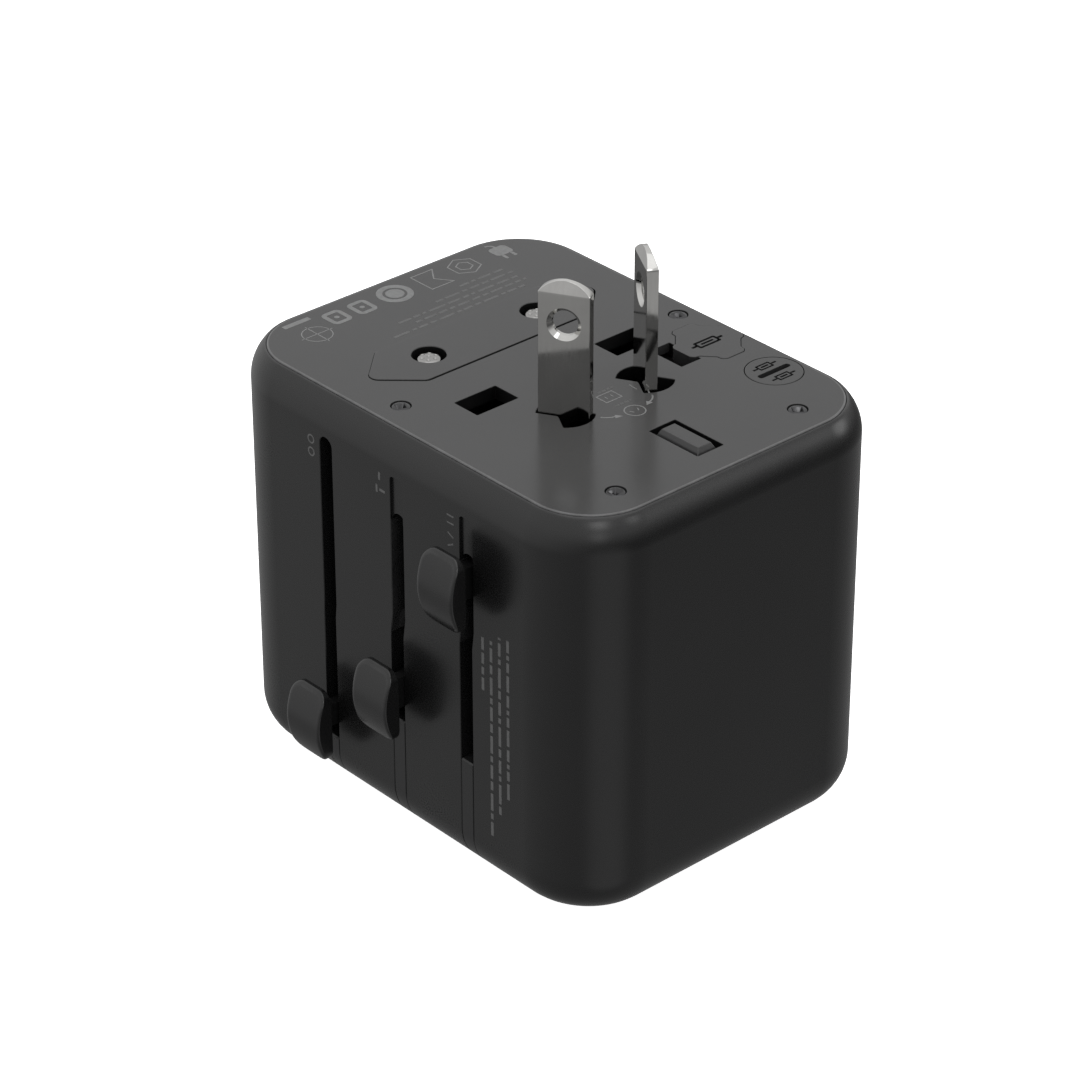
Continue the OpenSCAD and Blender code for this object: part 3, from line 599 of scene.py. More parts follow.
def window_outline():
    """Bow-tie opening in which a blade can turn."""
    w, R, a = 0.95, 3.5, math.radians(US_TURN)
    y0 = w / math.cos(a)
    b = -y0 * math.sin(a) + math.sqrt((y0 * math.sin(a)) ** 2 + R * R - y0 * y0)
    px, py = b * math.cos(a), y0 + b * math.sin(a)
    t = math.atan2(py, px)
    arc = [(R * math.cos(-t + 2 * t * k / 24), R * math.sin(-t + 2 * t * k / 24)) for k in range(25)]
    return rounded([(0, -y0)] + arc + [(0, y0)] + [(-x, -y) for x, y in arc], [0.5] + [0.12] + [0] * 23 + [0.12] + [0.5] + [0.12] + [0] * 23 + [0.12], 4)


def hole(outline, c=0.1, z0=PLATE_Z - 1, top=H):
    """A cutter through the plate, flared by c where it meets the top face."""
    s = Shape()
    s.stack([([up(p, z0) for p in outline], 0), ([up(p, top - c) for p in outline], 0), ([up(p, top) for p in inset(outline, -c)], 0),
             ([up(p, top + 0.5) for p in inset(outline, -c - 0.5)], 0)])
    return s


def top_plate():
    o = rrect(HW - TOP_INSET - 0.17, HD - TOP_INSET - 0.17, CORNER_R - TOP_INSET - 0.17, 24)
    ob = Shape().prism(o, PLATE_Z, H, 0.05, 0.16, 4, 0.15).build("top_plate_moulding")
    cuts = []
    for s in (-1, 1):
        cuts.append(hole(rrect(2.06, 3.2, 0.12, 3, UK_X, s * UK_Y), 0.05))
        cuts.append(hole(shift(window_outline(), US_X, s * US_Y), 0.07))
    cuts.append(hole(rrect(4.06, 2.08, 0.1, 3, EARTH_X, 0), 0.05))
    cuts.append(hole(shift(inset(rounded(HEX, 1.2, 8), -0.14), EU_X + 0.13, 0), 0.02))
    cuts.append(hole(shift(inset(fuse_outline(), -0.07), FUSE_C[0], FUSE_C[1] + 0.3), 0.02))
    cuts.append(hole(circle(SPARE_C[0], SPARE_C[1], 3.6, 64), 0.02))
    cuts.append(hole(rrect(2.75, 1.6, 0.08, 2, 7.2, 13.25), 0.04))
    s = Shape()
    s.stack([([up(p, z) for p in rrect(3.3, 1.9, 0.1, 2, 7.2, 13.0)], 0) for z in (PLATE_Z - 1, H - 1.27)])
    cuts.append(s)
    for x, y in SCREWS:
        s = Shape()
        s.stack([([up(p, z) for p in circle(x, y, r, 40)], 0) for r, z in ((1.0, PLATE_Z - 1), (1.0, H - 0.76), (1.27, H - 0.75), (1.27, H - 0.02), (1.29, H), (1.6, H + 0.31))])
        cuts.append(s)
    boolean(ob, cuts)
    finish_piece(ob, "housing", [PLATE, HOLE_SHADE], ["top_plate"], 30)
    for f in ob.data.polygons:
        c, n = f.center / MM, f.normal
        if n.z > 0.9995 and c.z > H - 0.01:
            f.use_smooth = False
        inner = abs(c.x) < HW - 3.2 and abs(c.y) < HD - 3.2
        notch = 4.3 < c.x < 10.1 and 11.5 < c.y < 15.5 and n.x > 0.5
        corner = math.hypot(max(0, abs(c.x) - HW + CORNER_R), max(0, abs(c.y) - HD + CORNER_R)) > CORNER_R - TOP_INSET - 1.0
        screw = any(math.hypot(c.x - x, c.y - y) < 1.75 for x, y in SCREWS)
        # the inner walls of the openings get the near-black material: painted shade
        if inner and n.z < 0.6 and not notch and not corner and not screw:
            f.material_index = 1
    return ob


plate_ob = top_plate()


def screws():
    s = Shape()
    for x, y in SCREWS:
        prof = [(0, 45, 0), (0.55, 45, 0), (0.9, 45.6, 0)]
        z = 45.8
        while z < 52.6:
            prof += [(0.9, z, 0), (0.72, z + 0.25, 0), (0.9, z + 0.5, 0)]
            z += 0.5
        prof += [(0.9, 53.9, 0), (1.21, 53.95, 0), (1.22, 54.02, 0), (1.22, 54.42, 0), (1.19, 54.52, 0.6), (1.1, 54.6, 0.6), (0.95, 54.655, 0.2), (0.7, 54.68, 0), (0, 54.685, 0)]
        s.lathe(prof, x, y, 40)
    ob = s.build("plate_screw_set")
    cuts = []
    for i, (x, y) in enumerate(SCREWS):
        star = []
        for k in range(8):
            a = 2 * pi * k / 8 + math.radians((25, 50, 10, 35)[i])
            r = 1.0 if k % 2 == 0 else 0.72
            star.append((x + r * math.cos(a), y + r * math.sin(a)))
        star = rounded(star, 0.12, 3)
        mid = [(x + (u - x) * 0.8, y + (v - y) * 0.8) for u, v in star]
        low = [(x + (u - x) * 0.35, y + (v - y) * 0.35) for u, v in star]
        c = Shape()
        c.stack([([up(p, 53.95) for p in low], 0), ([up(p, 54.55) for p in mid], 0), ([up(p, 54.69) for p in star], 0), ([up(p, 55.1) for p in star], 0)])
        cuts.append(c)
    boolean(ob, cuts)
    return finish_piece(ob, "housing", SCREWSTEEL, ["plate_screws"], 35)


screws()


# ------------------------------------------------------------------ socket cover
def cover():
    ob = Shape().prism(rrect(25.6, 17.6, 6, 20), 0.0, 2.6, 0.22, 0.1, 4, 0.2).build("socket_cover_moulding")
    adds, cuts = [], []
    for k in SLOTS:
        ll, lr = SLOT_EDGES[k][2:4]
        zt = TONGUE_Z[k]
        arc = [(-(HD - BOTTOM_R) - BOTTOM_R * math.sin(t), BOTTOM_R * (1 - math.cos(t))) for t in [pi / 2 * j / 14 for j in range(15)]]
        prof = [(-17.3, 0.0)] + arc + [(FRONT, zt - 0.15), (FRONT + 0.15, zt), (-CAV_Y - 0.05, zt), (-CAV_Y - 0.05, 2.55), (-17.3, 2.55)]
        prof = prof[::-1]  # counter-clockwise in (y, z)
        s = Shape()
        c = (ll + lr) / 2
        half = (lr - ll) / 2 - 0.09
        s.stack([([(c + sx * w, y, z) for y, z in inset(prof, g)], e) for sx, w, g, e in
                 ((-1, half, 0.06, 1), (-1, half - 0.06, 0, 1), (1, half - 0.06, 0, 1), (1, half, 0.06, 1))])
        adds.append(s)
    s = Shape()
    s.box(13.1, 14.3, -1.3, 1.3, 2.5, 4.3, 0.1)
    adds.append(s)
    for sx in (-1, 1):
        for y in (-8, 8):
            s = Shape()
            prof = [(24.6, 2.5), (25.5, 2.5), (25.5, 2.75), (26.45, 2.75), (26.5, 2.85), (25.6, 4.4), (24.6, 4.4)]
            s.stack([([(sx * x, y + w, z) for x, z in prof], 0) for w in (-2, 2)])
            adds.append(s)
    for sy in (-1, 1):
        s = Shape()
        s.box(-13.5, 10, sy * 16.7 - 0.4, sy * 16.7 + 0.4, 2.5, 4.2, 0.1)
        adds.append(s)
    boolean(ob, adds, "UNION")
    # a fine step all round the face, and the apertures with lead-in chamfers
    c = Shape()
    ring = lambda hx, hy, r, z: [up(p, z) for p in rrect(hx, hy, r, 12)]
    a = c.ring(ring(24.3, 16.3, 4.9, -0.3))
    b = c.ring(ring(24.3, 16.3, 4.9, 0.28))
    d = c.ring(ring(23.9, 15.9, 4.6, 0.28))
    e = c.ring(ring(23.9, 15.9, 4.6, -0.3))
    for p, q in ((a, b), (b, d), (d, e), (e, a)):
        c.skin(p, q)
    cuts.append(c)

    def aperture(o, g=0.35):
        s = Shape()
        s.stack([([up(p, -0.5) for p in inset(o, -g - 0.5)], 0), ([up(p, 0) for p in inset(o, -g)], 1), ([up(p, g) for p in o], 0), ([up(p, 4.2) for p in o], 0)])
        return s

    for s in (-1, 1):
        cuts.append(aperture(rrect(2.3, 3.4, 0.25, 4, SOCK_X, s * 11.1)))
        cuts.append(aperture(circle(SOCK_X, s * 9.5, 2.6, 40)))
        cuts.append(aperture(rrect(3.5, 0.95, 0.2, 4, SOCK_X, s * 6.35)))
        cuts.append(aperture(turn(rrect(3.4, 0.95, 0.2, 4), s * 30, 0, 0, SOCK_X, s * 6.87)))
    cuts.append(aperture(rrect(4.3, 2.3, 0.25, 4, SOCK_EARTH_X, 0)))
    boolean(ob, cuts)
    return finish_piece(ob, "housing", COVER, ["socket_cover"], 30)


cover()


# ------------------------------------------------------------------ EU plug
def eu_parts():
    o = shift(rounded(HEX, 1.2, 8), EU_X, 0)
    ob = Shape().prism(o, 33.7, H + 0.05, 0.1, 0.04, 2, 0.12).plain().build("eu_platform_moulding")
    fl = Shape()
    fl.prism(shift(inset(rounded(HEX, 1.2, 8), -0.72), EU_X, 0), 33.7, 35.4, 0.1, 0.1, 2, 0.1)
    boolean(ob, [fl], "UNION")
    cuts = []
    for s in (-1, 1):
        c = Shape()
        c.stack([([up(p, z) for p in circle(EU_X, s * EU_Y, r, 56)], 0) for r, z in ((2.12, 30), (2.12, H - 0.03), (2.2, H + 0.05), (2.6, H + 0.45))])
        cuts.append(c)
    boolean(ob, cuts)
    finish_piece(ob, "eu_base", [PLATE, HOLE_SHADE], ["eu_platform"], 30)
    for f in ob.data.polygons:
        c, n = f.center / MM, f.normal
        # the pin hole walls and the platform's sides get the near-black material: painted shade
        if n.z < 0.6 and (math.hypot(c.x - EU_X, abs(c.y) - EU_Y) < 2.3 or c.z < H - 0.12):
            f.material_index = 1
    s = Shape()
    for sy in (-1, 1):
        s.lathe([(0, 10.4, 0), (1.9, 10.4, 0), (2.0, 10.55, 0), (2.0, 14.6, 0), (1.95, 14.8, 0), (1.5, 14.85, 0), (1.5, 44.9, 0), (1.95, 44.95, 0),
                 (2.0, 45.05, 0.5), (2.0, 45.3, 0), (2.0, 53.0, 0), (1.98, 53.2, 0.3), (1.6, 54.05, 0.3), (1.5, 54.2, 0.6), (1.4, 54.29, 0.6), (1.25, 54.36, 0.3),
                 (1.0, 54.42, 0), (0.7, 54.46, 0), (0.35, 54.485, 0), (0, 54.49, 0)], EU_X, sy * EU_Y, 56)
    ob = s.build("eu_pin_pair")
    # a turned end with small punched dimples
    cuts = []
    for sy in (-1, 1):
        for k in range(7):
            a, q = (2 * pi * k / 6 + 0.3, 0.95) if k < 6 else (0, 0)
            c = Shape()
            x, y, z = EU_X + q * math.cos(a), sy * EU_Y + q * math.sin(a), 54.43 if k < 6 else 54.49
            c.lathe([(0, z - 0.13, 0), (0.12, z - 0.11, 0), (0.22, z - 0.05, 0), (0.3, z + 0.03, 0), (0.34, z + 0.1, 0), (0, z + 0.12, 0)], x, y, 20)
            cuts.append(c)
    boolean(ob, cuts)
    finish_piece(ob, "eu_plug", PINNICKEL, ["eu_pins"], 28)
    s = Shape()
    for sy in (-1, 1):
        n = 48
        prof = [(1.5, 14.85, 0), (1.85, 14.85, 1), (1.95, 14.95, 1), (1.95, 15.2, 0), (1.95, 44.5, 0), (1.95, 44.75, 1), (1.86, 44.9, 1), (1.5, 44.9, 0)]
        ids = [s.ring([up(p, z) for p in circle(EU_X, sy * EU_Y, r, n)], e) for r, z, e in prof]
        for a, b in zip(ids, ids[1:]):
            s.skin(a, b)
        s.skin(ids[-1], ids[0])
    finish_piece(s.build("eu_pin_sleeve_pair"), "eu_plug", SLEEVE, ["eu_pin_sleeves"], 30)


eu_parts()


# ------------------------------------------------------------------ UK plug
def taper_pin(s, cx, cy, hx, hy, z0, z1, tip, dx, dy, r=0.25):
    """Rectangular pin with a bevelled tip."""
    rr = lambda ax, ay, rad, z, e: ([up(p, z) for p in rrect(ax, ay, rad, 4, cx, cy)], e)
    s.stack([rr(hx - 0.15, hy - 0.15, r * 0.5, z0, 0), rr(hx, hy, r, z0 + 0.15, 1), rr(hx, hy, r, z0 + 0.4, 0), rr(hx, hy, r, z1 - tip - 0.15, 0), rr(hx - 0.02, hy - 0.02, r, z1 - tip, 1),
             rr(hx - 0.1, hy - 0.1, r, z1 - tip + 0.12, 0), rr(hx - dx + 0.07, hy - dy + 0.07, r * 0.8, z1 - 0.12, 0), rr(hx - dx, hy - dy, r * 0.7, z1 - 0.03, 1), rr(hx - dx - 0.08, hy - dy - 0.08, r * 0.6, z1, 0)])


def uk_parts():
    s = Shape()
    for sy in (-1, 1):
        taper_pin(s, UK_X, sy * UK_Y, 2.0, 3.175, 43.62, 52.3, 1.0, 0.5, 0.5)
        s.box(UK_X - 1.5, UK_X + 1.5, sy * UK_Y - 2.7, sy * UK_Y + 2.7, 21.0, 43.75, 0.1)
    finish_piece(s.build("uk_line_pin_pair"), "uk_plug", PINNICKEL, ["uk_line_pins"], 30)
    s = Shape()
    for sy in (-1, 1):
        prof = [(-0.5, 27.5, 0), (-0.1, 27.5, 1), (0, 27.6, 1), (0, 27.8, 0), (0, 43.3, 0), (0, 43.5, 1), (-0.1, 43.6, 1), (-0.5, 43.6, 0)]
        ids = [s.ring([up(p, z) for p in rrect(2.0 + g, 3.175 + g, 0.25 + max(g, -0.2), 4, UK_X, sy * UK_Y)], e) for g, z, e in prof]
        for a, b in zip(ids, ids[1:]):
            s.skin(a, b)
        s.skin(ids[-1], ids[0])
    finish_piece(s.build("uk_pin_sleeve_pair"), "uk_plug", SLEEVE, ["uk_pin_sleeves"], 30)
    s = Shape()
    taper_pin(s, EARTH_X, 0, 3.98, 1.98, 27.5, H + 0.3, 1.7, 0.96, 0.96, 0.12)
    finish_piece(s.build("uk_earth_pin_moulding"), "uk_plug", EARTH, ["uk_earth_pin"], 20)


uk_parts()


# ------------------------------------------------------------------ US / AU blades
def blade(name, sgn, body, node):
    z0, z1 = 39.1 + 4.3, H + 17.3
    s = Shape()

    def ring(hx, hy, z, r=0.14, e=0.0):
        r = min(r, hx * 0.9, hy * 0.9)
        return ([up(p, z) for p in rrect(max(hx, 0.02), hy, max(r, 0.005), 3)], e)

    zs = [(3.15, z0), (3.15, z0 + 4)]
    z_arc = z1 - 4 + math.sqrt(16 - 3.15 ** 2)
    rows = [(3.15, z) for z in (z0, z0 + 3, H + 2, z1 - 1.8, z1 - 1.56)]
    a0 = math.asin(3.13 / 4)
    for k in range(13):
        a = a0 * (1 - k / 12)
        rows.append((4 * math.sin(a), z1 - 4 + 4 * math.cos(a)))
    out = []
    for hx, z in rows:
        hy = 0.75 if z <= z1 - 1.55 else 0.75 - 0.45 * (z - (z1 - 1.55)) / 1.55
        out.append(ring(hx, hy, z, 0.1 if hx > 0.2 else 0.02, 0.0))
    s.stack(out)
    ob = s.build(name, 0.004)
    cut = Shape()
    zc = H + 11.9
    prof = [(2.45, -1.1), (2.1, -0.75), (1.6, -0.25), (1.6, 0.25), (2.1, 0.75), (2.45, 1.1)]
    cut.stack([([(x, w, zc + z) for x, z in circle(0, 0, r, 64)], 0) for r, w in prof])
    boolean(ob, [cut])
    hub = Shape()
    hub.lathe([(0, z0 - 7.2, 0), (1.3, z0 - 7.2, 0), (1.4, z0 - 7.1, 1), (1.4, z0 - 5.5, 0), (3.0, z0 - 5.5, 0), (3.1, z0 - 5.4, 1), (3.1, z0 - 4.5, 1), (3.0, z0 - 4.4, 0), (2.58, z0 - 4.4, 0),
               (2.58, z0, 0), (3.0, z0, 0), (3.1, z0 + 0.1, 1), (3.1, z0 + 0.7, 1), (3.0, z0 + 0.8, 0), (0, z0 + 0.8, 0)], 0, 0, 48)
    boolean(ob, [hub], "UNION")
    local = [f.center.copy() / MM for f in ob.data.polygons]
    flat = [abs(f.normal.y) for f in ob.data.polygons]
    ob.data.transform(Matrix.Translation((US_X * MM, sgn * US_Y * MM, 0)) @ Matrix.Rotation(math.radians(-sgn * US_TURN), 4, "Z"))
    finish_piece(ob, body, [NICKEL, POLISHED_AND_HIGHLIT], [node], 24)
    # tip faces and hole chamfer get the brighter nickel: partly polish, partly a painted highlight
    for f, c, ny in zip(ob.data.polygons, local, flat):
        if (c.z > z1 - 1.58 and ny < 0.6) or (math.hypot(c.x, c.z - zc) < 2.12 and ny < 0.9):
            f.material_index = 1
    return ob


blade("us_blade_front_plated", -1, "us_front_blade", "us_blade_front")
blade("us_blade_back_plated", 1, "us_back_blade", "us_blade_back")


# ------------------------------------------------------------------ slider knobs
def knob(name, key, body, node):
    cx, cz = SLOTS[key]
    yb = -FRONT + 2.7  # distance out of the centre plane
    n, m, hx, hy, r = 8, 22, 3.1, 4.9, 1.7
    # right side from bottom to top, and the same points mirrored, so that each pair shares a height
    side = [(hx - r + r * math.sin(pi / 2 * k / n), -hy + r - r * math.cos(pi / 2 * k / n)) for k in range(n + 1)]
    side += [(hx, -hy + r + (2 * hy - 2 * r) * k / m) for k in range(1, m)]
    side += [(hx - r + r * math.cos(pi / 2 * k / n), hy - r + r * math.sin(pi / 2 * k / n)) for k in range(n + 1)]
    base = side + [(-u, v) for u, v in reversed(side)]
    half = len(side)

    def depth(v):
        return 2.3 - 8.5 + math.sqrt(8.5 ** 2 - v * v)

    s = Shape()
    pt = lambda u, v, w: to_front((cx + u, cz + v, yb + w))
    rings = [([pt(u, v, 0) for u, v in inset(base, 0.3)], 0)]
    # the back rim bevel carries an edge value that paints a highlight line along the knob's rim
    for k in range(4):
        t = pi / 2 * k / 3
        rings.append(([pt(u, v, 0.14 * (1 - math.cos(t))) for u, v in inset(base, 0.14 * (1 - math.sin(t)))], 0.4))
    rings.append(([pt(u, v, 0.22) for u, v in base], 0))
    b, bz = 0.5, 0.26
    rings.append(([pt(u, v, depth(v) - bz - 0.06) for u, v in base], 0))
    # the crown bevel's edge values rise and fall in bands: painted highlight bands along the rim
    for k in range(7):
        t = pi / 2 * k / 6
        o = inset(base, b * (1 - math.cos(t)))
        rings.append(([pt(u, v, depth(v) - bz * (1 - math.sin(t))) for u, v in o], (0.3, 0.8, 0.5, 0.2, 0.5, 0.8, 0.6)[k]))
    o = inset(base, b + 0.1)
    rings.append(([pt(u, v, depth(v)) for u, v in o], 0.05))
    ids = [s.ring(p, e) for p, e in rings]
    for p, q in zip(ids, ids[1:]):
        s.skin(p, q)
    s.cap(ids[0], True)
    # the crown is ruled straight across, one strip for each height
    last, cols = ids[-1], 6
    prev = None
    for k in range(half):
        a, z = o[k], o[2 * half - 1 - k]
        row = [last[k]]
        for c in range(1, cols):
            f = c / cols
            u, v = a[0] + (z[0] - a[0]) * f, a[1] + (z[1] - a[1]) * f
            row += s.ring([pt(u, v, depth(v))], 0)
        row.append(last[2 * half - 1 - k])
        if prev is not None:
            for c in range(cols):
                s.f.append((prev[c], row[c], row[c + 1], prev[c + 1]))
        else:
            pass
        prev = row
    ob = s.build(name)
    c = Shape()
    c.stack([([pt(u, v, w) for u, v in rrect(0.72, 1.64 if key != "eu" else 1.54, 0.03, 2)], 0) for w in (-0.5, 0.98)])
    boolean(ob, [c])
    return finish_piece(ob, body, KNOB, [node], 40)


knob("eu_slider_knob", "eu", "eu_plug", "eu_knob")
knob("uk_slider_knob", "uk", "uk_plug", "uk_knob")
knob("us_slider_knob", "us", "us_plug", "us_knob")


# ------------------------------------------------------------------ fuse drawer cap and spare fuse cap
def fuse_parts():
    cx, cy = FUSE_C
    o = shift(fuse_outline(), cx, cy + 0.3)
    ob = Shape().prism(o, PLATE_Z, H + 0.04, 0.05, 0.05, 2, 0.1).build("fuse_drawer_moulding")
    body = Shape()
    body.prism(rrect(3.2, 3.1, 0.4, 4, cx, cy), 29.2, PLATE_Z + 0.2, 0.2, 0.05, 2, 0.1)
    boolean(ob, [body], "UNION")
    cuts = []
    c = Shape()
    c.lathe([(0, 30.4, 0), (2.7, 30.4, 0), (2.7, 50.6, 0), (0, 50.6, 0)], cx, cy, 48)
    cuts.append(c)
    c = Shape()
    c.stack([([up(p, z) for p in rrect(2.1, 2.6, 0.3, 3, cx, cy - 2.4)], 0) for z in (30.4, 50.6)])
    cuts.append(c)
    # engraved: a cartridge outline on a straight line, the usual fuse symbol
    ex, ey, d = cx + 0.08, cy + 0.05, 0.32

    def bar(x0, x1, y0, y1, r=0.06):
        c = Shape()
        c.stack([([up(p, z) for p in rrect((x1 - x0) / 2, (y1 - y0) / 2, r, 2, (x0 + x1) / 2, (y0 + y1) / 2)], 0) for z in (H - d, H + 0.3)])
        return c

    c = Shape()
    ring = lambda hx, hy, r, z: [up(p, z) for p in rrect(hx, hy, r, 4, ex, ey)]
    r1 = [c.ring(ring(0.78, 1.75, 0.25, z)) for z in (H - d, H + 0.3)]
    r2 = [c.ring(ring(0.42, 1.39, 0.12, z)) for z in (H - d, H + 0.3)]
    c.skin(r1[0], r1[1]), c.skin(r1[1], r2[1]), c.skin(r2[1], r2[0]), c.skin(r2[0], r1[0])
    cuts += [c, bar(ex - 0.2, ex + 0.2, ey - 2.5, ey - 1.6), bar(ex - 0.2, ex + 0.2, ey + 1.6, ey + 2.5), bar(ex - 0.17, ex + 0.17, ey - 1.0, ey + 1.0)]
    boolean(ob, cuts)
    finish_piece(ob, "fuse_drawer", FUSECAP, ["fuse_holder"], 30)
    # a near-black sheet laid in the floor of the engraving: painted shade
    s = Shape()
    lay = lambda o: s.stack([([up(p, z) for p in o], 0) for z in (H - d - 0.02, H - d + 0.012)])
    for a, b in ((-2.48, -1.62), (1.62, 2.48), (-0.98, 0.98)):
        lay(rrect(0.16, (b - a) / 2, 0.05, 2, ex, ey + (a + b) / 2))
    for sx in (-1, 1):
        lay(rrect(0.17, 1.74, 0.05, 2, ex + sx * 0.6, ey))
    for sy in (-1, 1):
        lay(rrect(0.7, 0.17, 0.05, 2, ex, ey + sy * 1.57))
    finish_piece(s.build("fuse_drawer_engraving_shade"), "fuse_drawer", ENGRAVING_SHADE, weighted=False)

    cx, cy = SPARE_C
    ob = Shape().prism(circle(cx, cy, 3.5, 64), PLATE_Z, H + 0.0, 0.05, 0.06, 2, 0.1).build("spare_fuse_cap_moulding")
    body = Shape()
    body.prism(circle(cx, cy, 2.66, 48), PLATE_Z - 1.1, PLATE_Z + 0.2, 0.1, 0.05, 2, 0.1)
    boolean(ob, [body], "UNION")
    cuts = []
    c = Shape()
    # coin slot with round ends
    c = Shape()
    c.stack([([up(p, z) for p in rrect(0.42, 2.55, 0.4, 6, cx, cy)], 0) for z in (H - 0.85, H + 0.5)])
    cuts.append(c)
    # near-black sheets in the coin slot and engraving floors: painted shade
    fills = Shape()
    fills.stack([([up(p, z) for p in rrect(0.4, 2.53, 0.38, 6, cx, cy)], 0) for z in (H - 0.86, H - 0.83)])
    for sx in (-1, 1):
        mx = cx + sx * 1.62
        c = Shape()
        ring = lambda hx, hy, r, z: [up(p, z) for p in rrect(hx, hy, r, 4, mx, cy)]
        r1 = [c.ring(ring(0.62, 1.1, 0.15, z)) for z in (H - 0.28, H + 0.3)]
        r2 = [c.ring(ring(0.36, 0.84, 0.08, z)) for z in (H - 0.28, H + 0.3)]
        c.skin(r1[0], r1[1]), c.skin(r1[1], r2[1]), c.skin(r2[1], r2[0]), c.skin(r2[0], r1[0])
        cuts.append(c)
        for yy, hh in ((-1.5, 0.38), (1.5, 0.38), (0, 0.6)):
            c = Shape()
            c.stack([([up(p, z) for p in rrect(0.15, hh, 0.04, 2, mx, cy + yy)], 0) for z in (H - 0.28, H + 0.3)])
            cuts.append(c)
            fills.stack([([up(p, z) for p in rrect(0.13, hh - 0.02, 0.04, 2, mx, cy + yy)], 0) for z in (H - 0.3, H - 0.265)])
        for s2 in (-1, 1):
            fills.stack([([up(p, z) for p in rrect(0.12, 1.08, 0.04, 2, mx + s2 * 0.49, cy)], 0) for z in (H - 0.3, H - 0.265)])
            fills.stack([([up(p, z) for p in rrect(0.5, 0.12, 0.04, 2, mx, cy + s2 * 0.97)], 0) for z in (H - 0.3, H - 0.265)])
    boolean(ob, cuts)
    finish_piece(ob, "spare_cap", FUSECAP, ["spare_fuse_cap"], 30)
    finish_piece(fills.build("spare_cap_engraving_shade"), "spare_cap", ENGRAVING_SHADE, weighted=False)


fuse_parts()


# ------------------------------------------------------------------ USB ports
def usb_parts():
    s = Shape()
    for sy in (-1, 1):
        cy, cz = sy * 7.6, 16.0
        o = rrect(6.6, 2.9, 0.75, 6, cy, cz)
        prof = [(0.0, -20.05), (0.0, -32.4), (0.0, -32.7), (-0.05, -32.85), (-0.15, -32.9), (-0.25, -32.86), (-0.34, -32.7), (-0.34, -32.4), (-0.34, -20.5)]
        ids = [s.ring([(x, y, z) for y, z in inset(o, -g)], 1.0 if x < -32.6 else 0.0) for g, x in prof]
        for a, b in zip(ids, ids[1:]):
            s.skin(a, b)
        s.cap(ids[0])
        s.cap(ids[-1])
    ob = s.build("usb_port_shells")
    cuts = []
    for sy in (-1, 1):
        for w in (-3, 3):
            for sz in (-1, 1):
                c = Shape()
                c.stack([([(x, y, 16 + sz * h) for x, y in rrect(1.9, 0.75, 0.2, 3, -27.4, sy * 7.6 + w)], 0) for h in (2.2, 3.2)])
                cuts.append(c)
    boolean(ob, cuts)
    finish_piece(ob, "housing", PORTSTEEL, ["usb_ports"], 30)
    s = Shape()
    g = Shape()
    for sy in (-1, 1):
        cy = sy * 7.6
        s.box(-30.6, -20.5, cy - 5.6, cy + 5.6, 16.35, 18.2, 0.2)
        s.box(-22.5, -20.5, cy - 6.15, cy + 6.15, 13.55, 18.45, 0.15)
        for k, y in enumerate((-3.5, -1.0, 1.0, 3.5)):
            x0 = -30.0 if k in (0, 3) else -29.1
            g.box(x0, -22.4, cy + y - 0.5, cy + y + 0.5, 16.24, 16.42, 0.04)
    finish_piece(s.build("usb_tongue_pair"), "housing", PORTPLASTIC, ["usb_tongues"], 30)
    finish_piece(g.build("usb_contact_strips"), "housing", GOLD)


usb_parts()


# ------------------------------------------------------------------ shutter spring, coiled wire
def spring():
    s = Shape()
    x0, x1, turns, R, r = 2.42, 13.1, 8.5, 0.55, 0.14
    steps, n = int(turns * 28), 10
    rows = []
    for k in range(steps + 1):
        t = k / steps
        # closed end turns
        u = t * turns
        f = min(max((u - 0.9) / (turns - 1.8), 0), 1)
        x = x0 + r + 0.25 * min(u, 0.9) / 0.9 + (x1 - x0 - 2 * r - 0.5) * f + 0.25 * min(max(u - turns + 0.9, 0), 0.9) / 0.9
        a = 2 * pi * u
        c = Vector((x, R * math.cos(a), 3.45 + R * math.sin(a)))
        rad = Vector((0, math.cos(a), math.sin(a)))
        rows.append((c, rad))
    ids = []
    for k, (c, rad) in enumerate(rows):
        d = (rows[min(k + 1, steps)][0] - rows[max(k - 1, 0)][0]).normalized()
        b = d.cross(rad).normalized()
        ids.append(s.ring([tuple(c + rad * (r * math.cos(2 * pi * j / n)) + b * (r * math.sin(2 * pi * j / n))) for j in range(n)]))
    for a, b in zip(ids, ids[1:]):
        s.skin(a, b)
    s.cap(ids[0], True)
    s.cap(ids[-1])
    ob = s.build("shutter_coil_spring")
    finish_piece(ob, "housing", SPRING, ["shutter_spring"], 60, weighted=False)
    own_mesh(ob)


spring()


# ------------------------------------------------------------------ printed marks, all plain shapes
def stroke(pts, w, closed=False):
    """Outline of a line of width w along pts."""
    P = [Vector(p) for p in pts]
    m = len(P)
    left, right = [], []
    for i in range(m):
        a = P[i - 1] if (i > 0 or closed) else P[i]
        b = P[(i + 1) % m] if (i < m - 1 or closed) else P[i]
        e1 = (P[i] - a).normalized() if (P[i] - a).length > 1e-9 else (b - P[i]).normalized()
        e2 = (b - P[i]).normalized() if (b - P[i]).length > 1e-9 else e1
        n1, n2 = Vector((-e1.y, e1.x)), Vector((-e2.y, e2.x))
        k = max(1 + n1.dot(n2), 0.3)
        q = (n1 + n2) / k * (w / 2)
        left.append(P[i] + q)
        right.append(P[i] - q)
    return left, right


